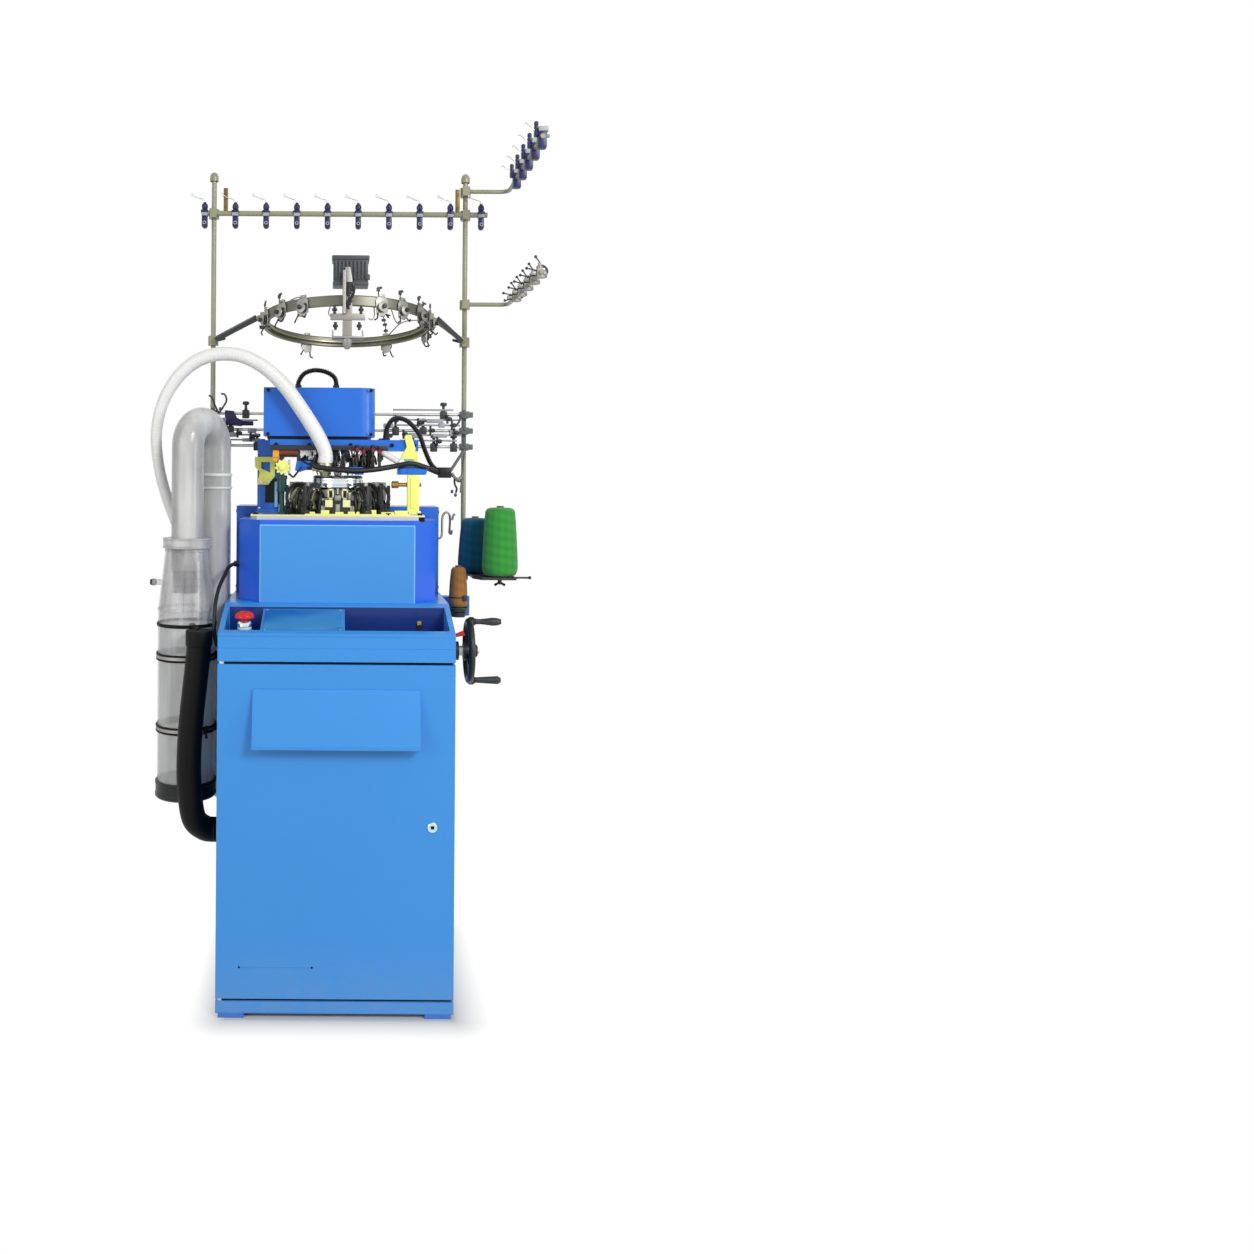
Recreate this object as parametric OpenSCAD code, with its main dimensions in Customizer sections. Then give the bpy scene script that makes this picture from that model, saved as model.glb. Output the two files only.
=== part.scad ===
// Single-cylinder sock knitting machine with cabinet, knitting head, creel, sock duct and handwheel.
// Millimetres. The model is drawn with the cabinet's middle at X = 0, its door face at Y = 0 and the
// floor at Z = 0, and place() moves all of it so that the origin is under the middle of the whole.

/* [Cabinet] */
// Width of the cabinet
cab_w = 524; // [500:2:540]
// Depth of the cabinet, from the door face to the back
cab_d = 500; // [498:1:520]
// Height of the skids
skid_h = 10; // [8:1:20]
// Width of a skid
skid_w = 57; // [45:1:70]
// Inset of a skid from the cabinet's side
skid_in = 6; // [3:1:15]
// Height of the top edge of the cabinet walls
wall_top = 812; // [800:1:825]
// Thickness of the cabinet sheet
sheet = 2; // [1.5:0.1:2.5]
// Height of the rail under the door
base_rail = 26; // [22:1:34]
// Height of the rail over the door
top_rail = 29; // [24:1:34]
// Width of the flange round the door opening
flange = 27; // [22:1:30]

/* [Door] */
// Thickness of the door pan
door_t = 18; // [16:0.5:20]
// Thickness of the door sheet
door_sheet = 1.5; // [1.2:0.1:2]
// Gap between the door and the rails above and below
door_gap = 6; // [5:0.5:8]
// Gap between the back of the door and the cabinet
door_back_gap = 5; // [4:0.5:7]
// Width of the lip round the back of the door
door_lip = 18; // [14:1:22]
// Diameter of the door's pivot pins
pin_d = 8; // [6:0.5:10]
// Diameter of the round collar on a pivot pin
pin_collar_d = 13; // [12:0.5:15]
// Length of a pivot pin inside the door
pin_in = 24; // [15:1:30]
// Height of the lock above the floor
lock_z = 421; // [350:1:500]
// Distance of the lock from the door's right edge
lock_in = 49; // [46:1:57]
// Diameter of the lock's head
lock_head_d = 20; // [18:1:24]
// Diameter of the lock's barrel
lock_d = 16; // [12:0.5:17]
// Length of the lock's cam from its axis
cam_len = 32; // [28:1:36]
// Width of the cowl on the door
cowl_w = 368; // [300:2:400]
// Height of the cowl on the door
cowl_h = 127; // [100:1:150]
// How far the cowl stands out at its lower edge
cowl_out = 30; // [20:1:40]
// Height of the cowl's lower edge above the floor
cowl_z = 596; // [560:1:620]

/* [Console] */
// Height of the console's front lip above the floor
lip_z = 845; // [838:1:855]
// Depth of the sloping part of the console
slope_d = 165; // [155:1:168]
// Height of the deck behind the slope
deck_z = 893; // [885:1:905]
// Width of the rim at the sides of the console's pan
pan_rim = 12; // [10:1:20]
// Width of the rim at the front of the pan
pan_front = 18; // [14:1:24]
// Depth of the pan's opening, front to back
pan_d = 130; // [120:1:134]
// Height of the pan's floor above the top of the cabinet walls
pan_up = 8; // [6:1:12]
// Width of the control panel housing
panel_w = 189; // [150:1:200]
// Distance of the panel housing from the cabinet's left side
panel_in = 91; // [88:1:110]
// How far the panel housing lies under the slope
panel_drop = 6; // [4:0.5:10]
// Diameter of the emergency stop's mushroom
estop_d = 42; // [38:1:46]
// Diameter of the emergency stop's collar
collar_d = 32; // [30:1:36]
// Diameter of the emergency stop's stem
estop_stem = 16; // [12:0.5:18]
// Height of the collar above the pan
collar_h = 42; // [38:1:50]
// Travel of the emergency stop
estop_travel = 5; // [4:0.5:6]
// Distance of the emergency stop from the cabinet's side
estop_in = 54; // [50:1:57]
// Distance of the emergency stop behind the door face
estop_y = 60; // [50:1:80]

/* [Housing and bed] */
// Width of the rear housing
rear_w = 514; // [500:2:520]
// Height of the rear housing's top above the floor
rear_z = 1113; // [1105:1:1125]
// Front of the rear housing behind the door face
rear_y = 385; // [384:0.5:395]
// Width of the front face of the front cover
cover_front_w = 364; // [340:2:380]
// Width of the front cover
cover_w = 472; // [460:2:490]
// Depth of the cover's slanted corners
cover_corner = 62; // [50:1:70]
// Height of the cover's top above the floor
cover_z = 1087; // [1080:1:1092]
// Width of the bed plate
bed_w = 414; // [408:1:424]
// Thickness of the bed plate
bed_t = 12; // [10:1:14]
// Distance of the needle cylinder's axis behind the door face
cyl_y = 300; // [298:1:302]

/* [Knitting head] */
// Diameter of the needle cylinder, over its lands
cyl_d = 95; // [92:0.5:98]
// Number of needle slots, a multiple of four
needles = 84; // [72:4:96]
// Depth of a needle slot
slot_depth = 1.6; // [1:0.1:2]
// Height of the cylinder's top above the bed
cyl_h = 60; // [56:1:64]
// Outer diameter of the sinker ring
sinker_d = 124; // [118:1:130]
// Height of the sinker ring
sinker_h = 31; // [26:1:34]
// Diameter of the dial
dial_d = 88; // [80:1:92]
// Diameter of the hollow shaft under the cylinder
tube_d = 64; // [60:1:70]
// Wall of the hollow shaft
tube_wall = 5; // [4:0.5:6]
// Outer diameter of the cam ring
cam_ring_d = 196; // [190:2:204]
// Height of the cam ring
cam_ring_h = 34; // [30:1:38]
// Radial clearance round turning pieces in the head
run_gap = 0.5; // [0.3:0.1:0.8]
// Height of the head plate's underside above the bed
head_gap = 154; // [150:1:160]
// Thickness of the head plate's folded edge
head_plate_t = 26; // [22:1:28]
// Width of the head cover
head_w = 271; // [260:1:280]
// Height of the head cover
head_h = 118; // [110:1:130]
// Depth of the head cover
head_d = 150; // [140:1:156]
// Radius of the head cover's right front corner
head_r = 38; // [20:1:50]
// Width of the head column
column_w = 65; // [60:1:70]
// Depth of the head column
column_d = 60; // [50:1:64]

/* [Drive] */
// Height of the drive shaft above the floor
shaft_z = 762; // [755:1:765]
// Diameter of the drive shaft
shaft_d = 24; // [20:1:28]
// Diameter of the handwheel
wheel_d = 160; // [150:1:170]
// Diameter of the handwheel's rim section
rim_d = 16; // [14:1:20]
// Distance of the handwheel from the cabinet's side
wheel_out = 64; // [60:1:70]
// Number of spokes
spokes = 3; // [3:1:5]
// Length of a handle
handle_len = 62; // [50:1:70]
// Diameter of a handle at its end
handle_d = 20; // [18:1:24]
// Diameter of the pins that the handles spin on
handle_pin = 8; // [6:0.5:9]
// Diameter of the belt pulley on the drive shaft
pulley_d = 110; // [100:2:116]
// Diameter of the motor's belt pulley
motor_pulley_d = 55; // [50:1:60]
// Width of both pulleys
pulley_w = 26; // [22:1:30]
// Thickness of the belt
belt_t = 4; // [3:0.5:5]
// Gap between the belt and the pulleys
belt_gap = 0.5; // [0.4:0.1:0.8]
// Diameter of the drive motor
motor_d = 110; // [100:1:114]
// Length of the drive motor
motor_len = 150; // [130:1:155]
// Height of the shelf in the cabinet
shelf_z = 480; // [476:1:484]

/* [Sock duct] */
// Outer diameter of the clear duct
duct_d = 76; // [72:1:78]
// Wall of the duct
duct_wall = 3; // [2:0.5:4]
// Gap between the duct and the cabinet's side
duct_side_gap = 2; // [1:0.5:4]
// Gap between the canister and the cabinet's side
can_gap = 26.5; // [24.5:0.5:30.5]
// Distance of the canister's axis behind the door face
can_y = 194; // [190:1:195]
// Outer diameter of the canister
can_d = 135; // [130:1:136]
// Height of the canister's lower end above the floor
can_z = 442; // [435:1:450]
// Height of the funnel's lower end above the floor
funnel_z = 840; // [835:1:845]
// Height of the funnel with its straight foot
funnel_h = 187; // [180:1:192]
// Diameter of the funnel's top
funnel_top_d = 104; // [100:1:108]
// Height of the white collar on the funnel
duct_collar_h = 24; // [20:1:28]
// Height of the top of the duct's bend above the floor
duct_top = 1355; // [1340:1:1370]
// Height of the duct's run through the cabinet wall
duct_low = 455; // [450:0.5:456]
// Diameter of the white suction hose
suction_d = 34; // [30:1:38]
// Diameter of the black hose
black_d = 56; // [50:1:58]

/* [Yarn creel] */
// Distance of a creel post from the cabinet's middle
post_x = 330; // [328:1:334]
// Distance of the posts behind the door face
post_y = 480; // [478:1:484]
// Diameter of a creel post
post_d = 13; // [12:0.5:14]
// Height of the posts' tops above the floor
post_top = 1985; // [1960:1:2010]
// Height of the top bar above the floor
bar_z = 1875; // [1860:1:1890]
// Diameter of the top bar
bar_d = 14; // [12:0.5:15]
// Number of yarn guides on the top bar
guides = 10; // [8:1:10]
// Distance between two yarn guides
guide_pitch = 80.3; // [78:0.1:80.5]
// Height of the upper side arm
arm_hi = 1936; // [1925:1:1945]
// Height of the lower side arm
arm_lo = 1641; // [1630:1:1650]
// Diameter of a side arm
arm_d = 11; // [10:0.5:12]
// Distance of the side arms from the cabinet's middle
arm_x = 441; // [435:1:445]
// How far the side arms reach past the door face
arm_front = 25; // [10:1:28]
// Number of guides on each side arm
side_count = 5; // [4:1:6]
// Outer radius of the guide ring
ring_r = 206; // [200:1:210]
// Height of the guide ring's band
ring_h = 24; // [20:1:28]
// Thickness of the guide ring's band
ring_t = 5; // [4:0.5:6]
// Height of the guide ring above the floor
ring_z = 1568; // [1560:1:1575]
// Offset of the guide ring to the right
ring_x = 20; // [15:1:25]
// Tilt of the guide ring, front upwards
ring_tilt = 7; // [5:0.5:8]

/* [Yarn packages] */
// Height of the cone tray above the floor
tray_z = 940; // [935:1:945]
// Thickness of the cone tray
tray_t = 6; // [5:0.5:8]
// Height of the green package
green_h = 172; // [160:1:185]
// Diameter of the packages at their foot
cone_d = 88; // [80:1:90]
// Reach of the tray's rod from the cabinet's middle
tray_reach = 478; // [470:1:482]

/* [Hidden] */
$fn = 48;
// How far a cut runs past the face it opens
cut = 1;
// Radial clearance of a pin or rod in its bore
fit = 0.05;
// Gap between pieces that pass or face each other
seat = 0.3;

// Cabinet, door and lock
half = cab_w / 2;
rail_d = door_t + door_back_gap;
door_z0 = skid_h + base_rail + door_gap;
door_z1 = wall_top - top_rail - door_gap;
door_h = door_z1 - door_z0;
pin_x = -half + door_t / 2;
pin_y = door_t / 2;
cam_y = rail_d + sheet + cut;
cam_t = 3;
cam_w = 12;
lock_x = half - lock_in;
vent_count = 6;
vent_w = 60;
vent_h = 6;

// Console
slope = (deck_z - lip_z) / slope_d;
slope_drop = sheet * sqrt(1 + slope * slope);
pan_z = wall_top + pan_up;
pan_y0 = pan_front;
pan_y1 = pan_front + pan_d;
estop_x = half - estop_in;
collar_top = pan_z + sheet + collar_h;
estop_gap = estop_travel + cut;

// Housing, bed and head heights
cover_y0 = slope_d + 4;
bed_top = cover_z + bed_t;
bed_bore = cyl_d + 11;
bed_y0 = cover_y0 + 14;
head_y0 = 244;
plate_z = bed_top + head_gap;
plate_top = plate_z + head_plate_t;
cover_gap = 8;
cyl_top = bed_top + cyl_h;
ring_bore = cyl_d + 2 * run_gap;
dial_z = cyl_top + 2;
dial_t = 8;
dial_shaft = 18;
boss_h = 26;
finger_z = bed_top + 106;
nozzle_x = -31;
nozzle_y = 221;
column_x = -200;
column_y = 320;
post_w = 29;
post_left = 168;
post_h = 96;

// Drive
case_w = 150;
case_z0 = 697;
case_z1 = 830;
case_column = 118;
wheel_x = half + wheel_out;
shaft_in = 40;
pulley_x = 150;
motor_y = 190;
motor_z = 560;
motor_shaft = 16;
wheel_r = wheel_d / 2 - rim_d / 2;
bearing_reach = 38;
bearing_d = 46;

// Sock duct, from the cabinet wall up, over and down into the funnel
can_x = half + can_gap + can_d / 2;
duct_r = duct_d / 2;
leg_x = -(half + duct_side_gap + duct_r);
elbow_r = duct_side_gap + duct_r;
low_z = shelf_z - duct_r - 12;
bend_r = norm([leg_x + can_x, cyl_y - can_y]) / 2;
bend_turn = atan2(cyl_y - can_y, leg_x + can_x);
bend_z = duct_top - bend_r - duct_r;
funnel_top = funnel_z + funnel_h;
duct_in = 22;
riser_more = 0.8;
joint_z = 1176;
duct_dip = 60;
sleeve_h = 32;
pipe_r = 60;
band_t = 4;
spigot_reach = 12;
blower_y = 131;
blower_z = 372;
blower_r = 100;
outlet_x = -314;
outlet_y = 92;
outlet_z = 822;

// Creel
front_y = post_y - (post_d + bar_d) / 2;
arm_bend = 24;
clamp_d = post_d + 14;
clamp_h = 24;
bar_left = 358;
bar_right = 386;
cross_d = 8;
cross_z = [1268, 1310, 1352];
guide_left = -353;
ring_clamp_z = 1542;
tensioner_angles = [200, 222, 240, 292, 308, 326, 346, 20, 60, 120];

// Yarn packages
green_at = [401, 300];
teal_at = [352, 400];
orange_at = [half + 40, cyl_y + 30];
peg_d = 8;

// Routes of hoses and conduits, chosen by hand
suction_route = [
    [-31, 221, 1221.5], [-31, 221, 1248], [-50, 221, 1290], [-91, 221, 1354], [-132, 221, 1409],
    [-182, 222, 1453], [-235, 225, 1478], [-290, 229, 1482], [-343, 233, 1465], [-389, 237, 1425],
    [-423, 243, 1368], [-440, 250, 1298], [-437, 258, 1224], [-421, 265, 1151], [-396, 269, 1083],
    [-374, 268, 1035], [-365, 265, 1010], [-365, 265, 989]
];
black_route = [
    [-314, 92, 822], [-314, 92, 804], [-316, 92, 775], [-323, 92, 709], [-331, 92, 631], [-335, 92, 557],
    [-335, 92, 500], [-331, 94, 446], [-323, 106, 402], [-303, 123, 378], [-286, 131, 372],
    [-274, 131, 372]
];
top_loop = [
    [-100, 330, 1405], [-100, 330, 1423], [-86, 330, 1445], [-60, 330, 1454], [-32, 330, 1450],
    [-12, 330, 1438], [-6, 330, 1423], [-6, 330, 1405]
];
side_loop = [
    [118, 290, 1279], [118, 290, 1304], [136, 290, 1332], [168, 290, 1328], [198, 290, 1296],
    [214, 291, 1254], [230, 292, 1220], [252, 293, 1201]
];
thin_lead = [
    [-236, 240, 978], [-247, 240, 978], [-261, 228, 970], [-269, 208, 952], [-279, 180, 925], [-284, 150, 890],
    [-284, 130, 850], [-282, 124, 820], [-277, 122, 802], [-269, 122, 795], [-262, 122, 795]
];
loop_d = 13;
lead_d = 9;
hose_left = suction_d / 2 - min([for (p = suction_route) p.x]);
mid_x = (tray_reach - hose_left) / 2;
mid_y = (max(cab_d, post_y + 20) - max(cowl_out, arm_front + 9)) / 2;

// Moves a piece from the cabinet's frame to the model's
module place() {
    translate([-mid_x, -mid_y, 0]) children();
}

// Extrudes a side profile, drawn as depth and height, across the width
module across(width) {
    translate([-width / 2, 0, 0]) rotate([90, 0, 90]) linear_extrude(width) children();
}

// Extrudes a front profile, drawn as width and height, backwards
module deep(depth) {
    translate([0, depth, 0]) rotate([90, 0, 0]) linear_extrude(depth) children();
}

// Round bar along X
module rod_x(d, length) {
    rotate([0, 90, 0]) cylinder(d = d, h = length);
}

// Round bar along Y
module rod_y(d, length) {
    rotate([-90, 0, 0]) cylinder(d = d, h = length);
}

// Round bar from one point to another
module rod_between(a, b, d) {
    v = b - a;
    translate(a) rotate([0, acos(v.z / norm(v)), atan2(v.y, v.x)]) cylinder(d = d, h = norm(v));
}

// Points of an arc
function arc(centre, r, from, to, steps) =
    [for (i = [0:steps]) centre + r * [cos(from + (to - from) * i / steps), sin(from + (to - from) * i / steps)]];

// Toothed outline: lands at one radius, slots at the other
function toothed(count, land_r, slot_r, share) =
    [for (i = [0:count - 1], k = [0:3])
        let (a = 360 * (i + [0, 1 - share, 1 - share, 1][k]) / count, r = k < 2 ? land_r : slot_r)
        r * [cos(a), sin(a)]];

// Round tube swept along a route
function way(v) = v / norm(v);
function tangent(route, i) = way(route[min(i + 1, len(route) - 1)] - route[max(i - 1, 0)]);
function hoop(route, i, d, sides) =
    let (t = tangent(route, i), a = way(cross(t, [0, 1, 0])), b = cross(t, a))
    [for (k = [0:sides - 1]) route[i] + d / 2 * (cos(360 * k / sides) * a + sin(360 * k / sides) * b)];

module sweep(route, d, sides) {
    rings = len(route);
    points = [for (i = [0:rings - 1]) each hoop(route, i, d, sides)];
    skin = [for (i = [0:rings - 2], k = [0:sides - 1])
        [i * sides + k, (i + 1) * sides + k, (i + 1) * sides + (k + 1) % sides, i * sides + (k + 1) % sides]];
    start = [for (k = [0:sides - 1]) k];
    end = [for (k = [0:sides - 1]) rings * sides - 1 - k];
    polyhedron(points, concat(skin, [start, end]));
}

// Two flat skids that the cabinet stands on
module skids() {
    place() color("navy")
        for (side = [-1, 1])
            translate([side * (half - skid_in - skid_w / 2) - skid_w / 2, 0, 0])
                difference() {
                    cube([skid_w, cab_d, skid_h]);
                    for (y = [cab_d / 8, cab_d * 7 / 8])
                        translate([skid_w / 2, y, -cut]) cylinder(d = 13, h = skid_h + 2 * cut);
                }
}

// Walls and rails of the cabinet as one block, set in by a distance
module shell_block(in) {
    past = in > 0 ? cut : 0;
    translate([-half + in, rail_d + in, skid_h + in])
        cube([cab_w - 2 * in, cab_d - rail_d - 2 * in, wall_top - skid_h - in + past]);
    translate([-half + in, in, skid_h + in])
        cube([cab_w - 2 * in, rail_d + past, base_rail - 2 * in]);
    translate([-half + in, in, wall_top - top_rail + in])
        cube([cab_w - 2 * in, rail_d + past, top_rail - in + past]);
}

// Folded cabinet with rails in front, open at the top and behind the door
module cabinet_shell() {
    open_z0 = skid_h + base_rail + flange;
    open_z1 = wall_top - top_rail - flange;
    place() color("steelblue") difference() {
        shell_block(0);
        shell_block(sheet);
        translate([-half + flange, rail_d - cut, open_z0])
            cube([cab_w - 2 * flange, sheet + 2 * cut, open_z1 - open_z0]);
        for (z = [skid_h + base_rail - sheet - cut, wall_top - top_rail - cut])
            translate([pin_x, pin_y, z]) cylinder(d = pin_d + 2 * fit, h = sheet + 2 * cut);
        translate([-half - cut, blower_y, blower_z]) rod_x(black_d - 2, sheet + 2 * cut);
        translate([-half - cut, cyl_y, low_z]) rod_x(duct_d + 2 * (riser_more + seat), sheet + 2 * cut);
        translate([half - sheet - cut, cyl_y, shaft_z]) rod_x(bearing_d - 6 + 2 * fit, sheet + 2 * cut);
        for (side = [-1, 1], i = [0:vent_count - 1])
            translate([side * cab_w / 5 - vent_w / 2, cab_d - sheet - cut, 140 + i * 3 * vent_h])
                cube([vent_w, sheet + 2 * cut, vent_h]);
    }
}

// Two pivot pins that the door turns on, each with a collar
module hinge_pins() {
    place() color("silver") {
        translate([pin_x, pin_y, 0]) {
            translate([0, 0, skid_h + sheet])
                cylinder(d = pin_d, h = door_z0 + door_sheet + pin_in - skid_h - sheet);
            translate([0, 0, skid_h + base_rail]) cylinder(d = pin_collar_d, h = door_gap - seat);
            translate([0, 0, door_z1 - door_sheet - pin_in])
                cylinder(d = pin_d, h = wall_top - 6 - door_z1 + door_sheet + pin_in);
            translate([0, 0, door_z1 + seat]) cylinder(d = pin_collar_d, h = door_gap - seat);
        }
    }
}

// Folded door pan with a bush block at each pivot
module door() {
    bush_h = pin_in + 8;
    place() color("dodgerblue") difference() {
        union() {
            difference() {
                translate([-half, 0, door_z0]) cube([cab_w, door_t, door_h]);
                translate([-half + door_sheet, door_sheet, door_z0 + door_sheet])
                    cube([cab_w - 2 * door_sheet, door_t - 2 * door_sheet, door_h - 2 * door_sheet]);
                translate([-half + door_lip, door_t / 2, door_z0 + door_lip])
                    cube([cab_w - 2 * door_lip, door_t, door_h - 2 * door_lip]);
            }
            for (z = [door_z0, door_z1 - bush_h])
                translate([-half, 0, z]) cube([door_t, door_t, bush_h]);
        }
        translate([pin_x, pin_y, door_z0 - cut])
            cylinder(d = pin_d + 2 * fit, h = pin_in + door_sheet + cut + seat);
        translate([pin_x, pin_y, door_z1 - door_sheet - pin_in - seat])
            cylinder(d = pin_d + 2 * fit, h = pin_in + door_sheet + cut + seat);
        translate([lock_x, -cut, lock_z]) rod_y(lock_d + 2 * fit, door_t);
        for (x = [-210, -50])
            translate([x, -cut, 111]) rod_y(5, door_t);
    }
}

// Wedge-shaped sheet cowl on the door, open at its lower side
module door_cowl() {
    top = cowl_z + cowl_h;
    fold = 8;
    place() color("dodgerblue") difference() {
        across(cowl_w)
            polygon([[0, cowl_z], [0, top], [-2.5, top], [-cowl_out, cowl_z + fold], [-cowl_out, cowl_z]]);
        across(cowl_w - 2 * door_sheet)
            polygon([
                [cut, cowl_z - cut], [cut, top - fold], [-1, top - fold],
                [-cowl_out + door_sheet, cowl_z + fold], [-cowl_out + door_sheet, cowl_z - cut]
            ]);
    }
}

// Quarter-turn lock with a square key recess, its cam hanging down when it is open
module door_lock() {
    head_t = 3;
    place() translate([lock_x, 0, lock_z]) color("lightcyan") difference() {
        union() {
            translate([0, -head_t, 0]) rod_y(lock_head_d, head_t);
            translate([0, -head_t, 0]) rod_y(lock_d, head_t + cam_y + cam_t);
            translate([-cam_w / 2, cam_y, -cam_len]) cube([cam_w, cam_t, cam_len]);
        }
        translate([-4, -head_t - cut, -4]) cube([8, 6, 8]);
    }
}

// Side profile of the console, set in by the sheet
module console_profile(in) {
    drop = in > 0 ? slope_drop : 0;
    past = in > 0 ? cut : 0;
    polygon([
        [cut + in, wall_top - past], [cut + in, lip_z + slope * in - drop], [slope_d, deck_z - drop],
        [cab_d - in, deck_z - drop], [cab_d - in, wall_top - past]
    ]);
}

// Folded console: sloping front with a sunk pan, flat deck behind it
module console() {
    pan_w = cab_w - 2 * pan_rim;
    place() color("cornflowerblue") difference() {
        union() {
            difference() {
                across(cab_w) console_profile(0);
                across(cab_w - 2 * sheet) console_profile(sheet);
            }
            intersection() {
                across(cab_w) console_profile(0);
                translate([-pan_w / 2 - sheet, pan_y0 - sheet, pan_z])
                    cube([pan_w + 2 * sheet, pan_d + 2 * sheet, deck_z]);
            }
        }
        translate([-pan_w / 2, pan_y0, pan_z + sheet]) cube([pan_w, pan_d, deck_z]);
        translate([0, cyl_y, deck_z - 4 * sheet]) cylinder(d = case_column + 4, h = 8 * sheet);
    }
}

// Control panel housing in the pan, parallel to the slope
module console_plate() {
    y0 = pan_y0 + 2;
    y1 = pan_y1 - 2;
    z0 = pan_z + sheet;
    place() color("skyblue") translate([panel_in + panel_w / 2 - half, 0, 0]) difference() {
        across(panel_w)
            polygon([
                [y0, z0], [y0, lip_z + slope * y0 - panel_drop],
                [y1, lip_z + slope * y1 - panel_drop], [y1, z0]
            ]);
        across(panel_w - 2 * sheet)
            polygon([
                [y0 + sheet, z0 - cut], [y0 + sheet, lip_z + slope * (y0 + sheet) - panel_drop - slope_drop],
                [y1 - sheet, lip_z + slope * (y1 - sheet) - panel_drop - slope_drop], [y1 - sheet, z0 - cut]
            ]);
    }
}

// Collar of the emergency stop, standing in the pan
module estop_collar() {
    foot_h = 22;
    place() translate([-estop_x, estop_y, pan_z + sheet]) color("lightcyan") difference() {
        union() {
            cylinder(d = collar_d + 4, h = foot_h);
            cylinder(d = collar_d, h = collar_h - 5);
            cylinder(d = collar_d - 5, h = collar_h);
        }
        translate([0, 0, 4]) cylinder(d = estop_stem + 2 * fit, h = collar_h);
    }
}

// Red mushroom of the emergency stop with its stem
module estop_button() {
    cap_h = 17;
    place() translate([-estop_x, estop_y, 0]) color("red") {
        translate([0, 0, collar_top - 30]) cylinder(d = estop_stem, h = 30 + estop_gap + 1);
        translate([0, 0, collar_top + estop_gap])
            rotate_extrude()
                polygon([
                    [0, 0], [estop_d / 2 - 3, 0], [estop_d / 2, 4], [estop_d / 2, 8],
                    [estop_d / 2 - 4, 13], [estop_d / 2 - 11, cap_h - 1], [0, cap_h]
                ]);
    }
}

// Sheet housing behind the bed, with vent slots in its back
module rear_housing() {
    depth = cab_d - 2 - rear_y;
    height = rear_z - deck_z;
    slots = 7;
    place() translate([-rear_w / 2, rear_y, deck_z]) color("royalblue") difference() {
        cube([rear_w, depth, height]);
        translate([sheet, sheet, -cut]) cube([rear_w - 2 * sheet, depth - 2 * sheet, height - sheet + cut]);
        for (side = [0.3, 0.7], i = [0:slots - 1])
            translate([rear_w * side - vent_w / 2, depth - sheet - cut, 60 + i * 3 * vent_h])
                cube([vent_w, sheet + 2 * cut, vent_h]);
    }
}

// Outline of the front cover with its slanted corners, set in by a distance
module cover_outline(in) {
    f = cover_front_w / 2 - in / 2;
    w = cover_w / 2 - in;
    back = rear_y + (in > 0 ? cut : 0);
    polygon([
        [-f, cover_y0 + in], [f, cover_y0 + in], [w, cover_y0 + cover_corner + in / 2], [w, back],
        [-w, back], [-w, cover_y0 + cover_corner + in / 2]
    ]);
}

// Folded cover round the front of the machine head, with an opened top under the bed plate
module front_cover() {
    height = cover_z - deck_z;
    place() translate([0, 0, deck_z]) color("deepskyblue") difference() {
        linear_extrude(height) cover_outline(0);
        translate([0, 0, -cut]) linear_extrude(height - sheet + cut) cover_outline(sheet);
        translate([-cover_front_w / 2 + 8, bed_y0 + 14, height - 2 * sheet])
            cube([cover_front_w - 16, rear_y, 4 * sheet]);
    }
}

// Machined bed plate with the bore that the needle cylinder turns in
module bed_plate() {
    corner = 16;
    w = bed_w / 2;
    y1 = rear_y - 1;
    place() translate([0, 0, cover_z]) color("silver") difference() {
        linear_extrude(bed_t)
            polygon([
                [-w + corner, bed_y0], [w - corner, bed_y0], [w, bed_y0 + corner], [w, y1],
                [-w, y1], [-w, bed_y0 + corner]
            ]);
        translate([0, cyl_y, -cut]) cylinder(d = bed_bore, h = bed_t + 2 * cut);
    }
}

// Cast case of the cylinder's gears: box, neck and flange under the bed plate
module gear_case() {
    flange_t = 12;
    flange_d = 168;
    ribs = 4;
    place() translate([0, cyl_y, 0]) color("gray") difference() {
        union() {
            translate([-case_w / 2, -case_w / 2, case_z0]) cube([case_w, case_w, case_z1 - case_z0]);
            translate([0, 0, case_z1 - cut]) cylinder(d = case_column, h = cover_z - case_z1 + cut);
            translate([0, 0, cover_z - flange_t]) cylinder(d = flange_d, h = flange_t);
            for (i = [0:ribs - 1])
                rotate([0, 0, 45 + 360 * i / ribs])
                    translate([0, -4, cover_z - 60]) cube([flange_d / 2 - 6, 8, 60 - flange_t / 2]);
        }
        translate([0, 0, case_z0 - cut]) cylinder(d = tube_d + 2 * run_gap, h = cover_z - case_z0 + 2 * cut);
        translate([shaft_in - cut, 0, shaft_z]) rod_x(shaft_d + 2 * fit, case_w);
    }
}

// Cast column that carries the head plate on the left
module head_column() {
    foot = 10;
    place() translate([column_x, column_y, bed_top]) color("royalblue") difference() {
        union() {
            cube([column_w, column_d, plate_z - bed_top]);
            translate([0, -8, 0]) cube([column_w + 8, column_d + 10, foot]);
        }
        translate([column_w - 18, -cut, foot + 14]) cube([column_w, column_d - 16, 62]);
    }
}

// Yellow bracket with a window, on the front face of the column
module column_bracket() {
    t = 8;
    place() translate([column_x - 6, column_y - t, bed_top + 69]) color("khaki") difference() {
        deep(t) polygon([[6, 0], [34, 0], [50, 22], [50, 69], [0, 69], [0, 44], [12, 32]]);
        translate([0, -cut, 0]) deep(t + 2 * cut) polygon([[16, 40], [38, 30], [38, 56], [16, 56]]);
    }
}

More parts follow.
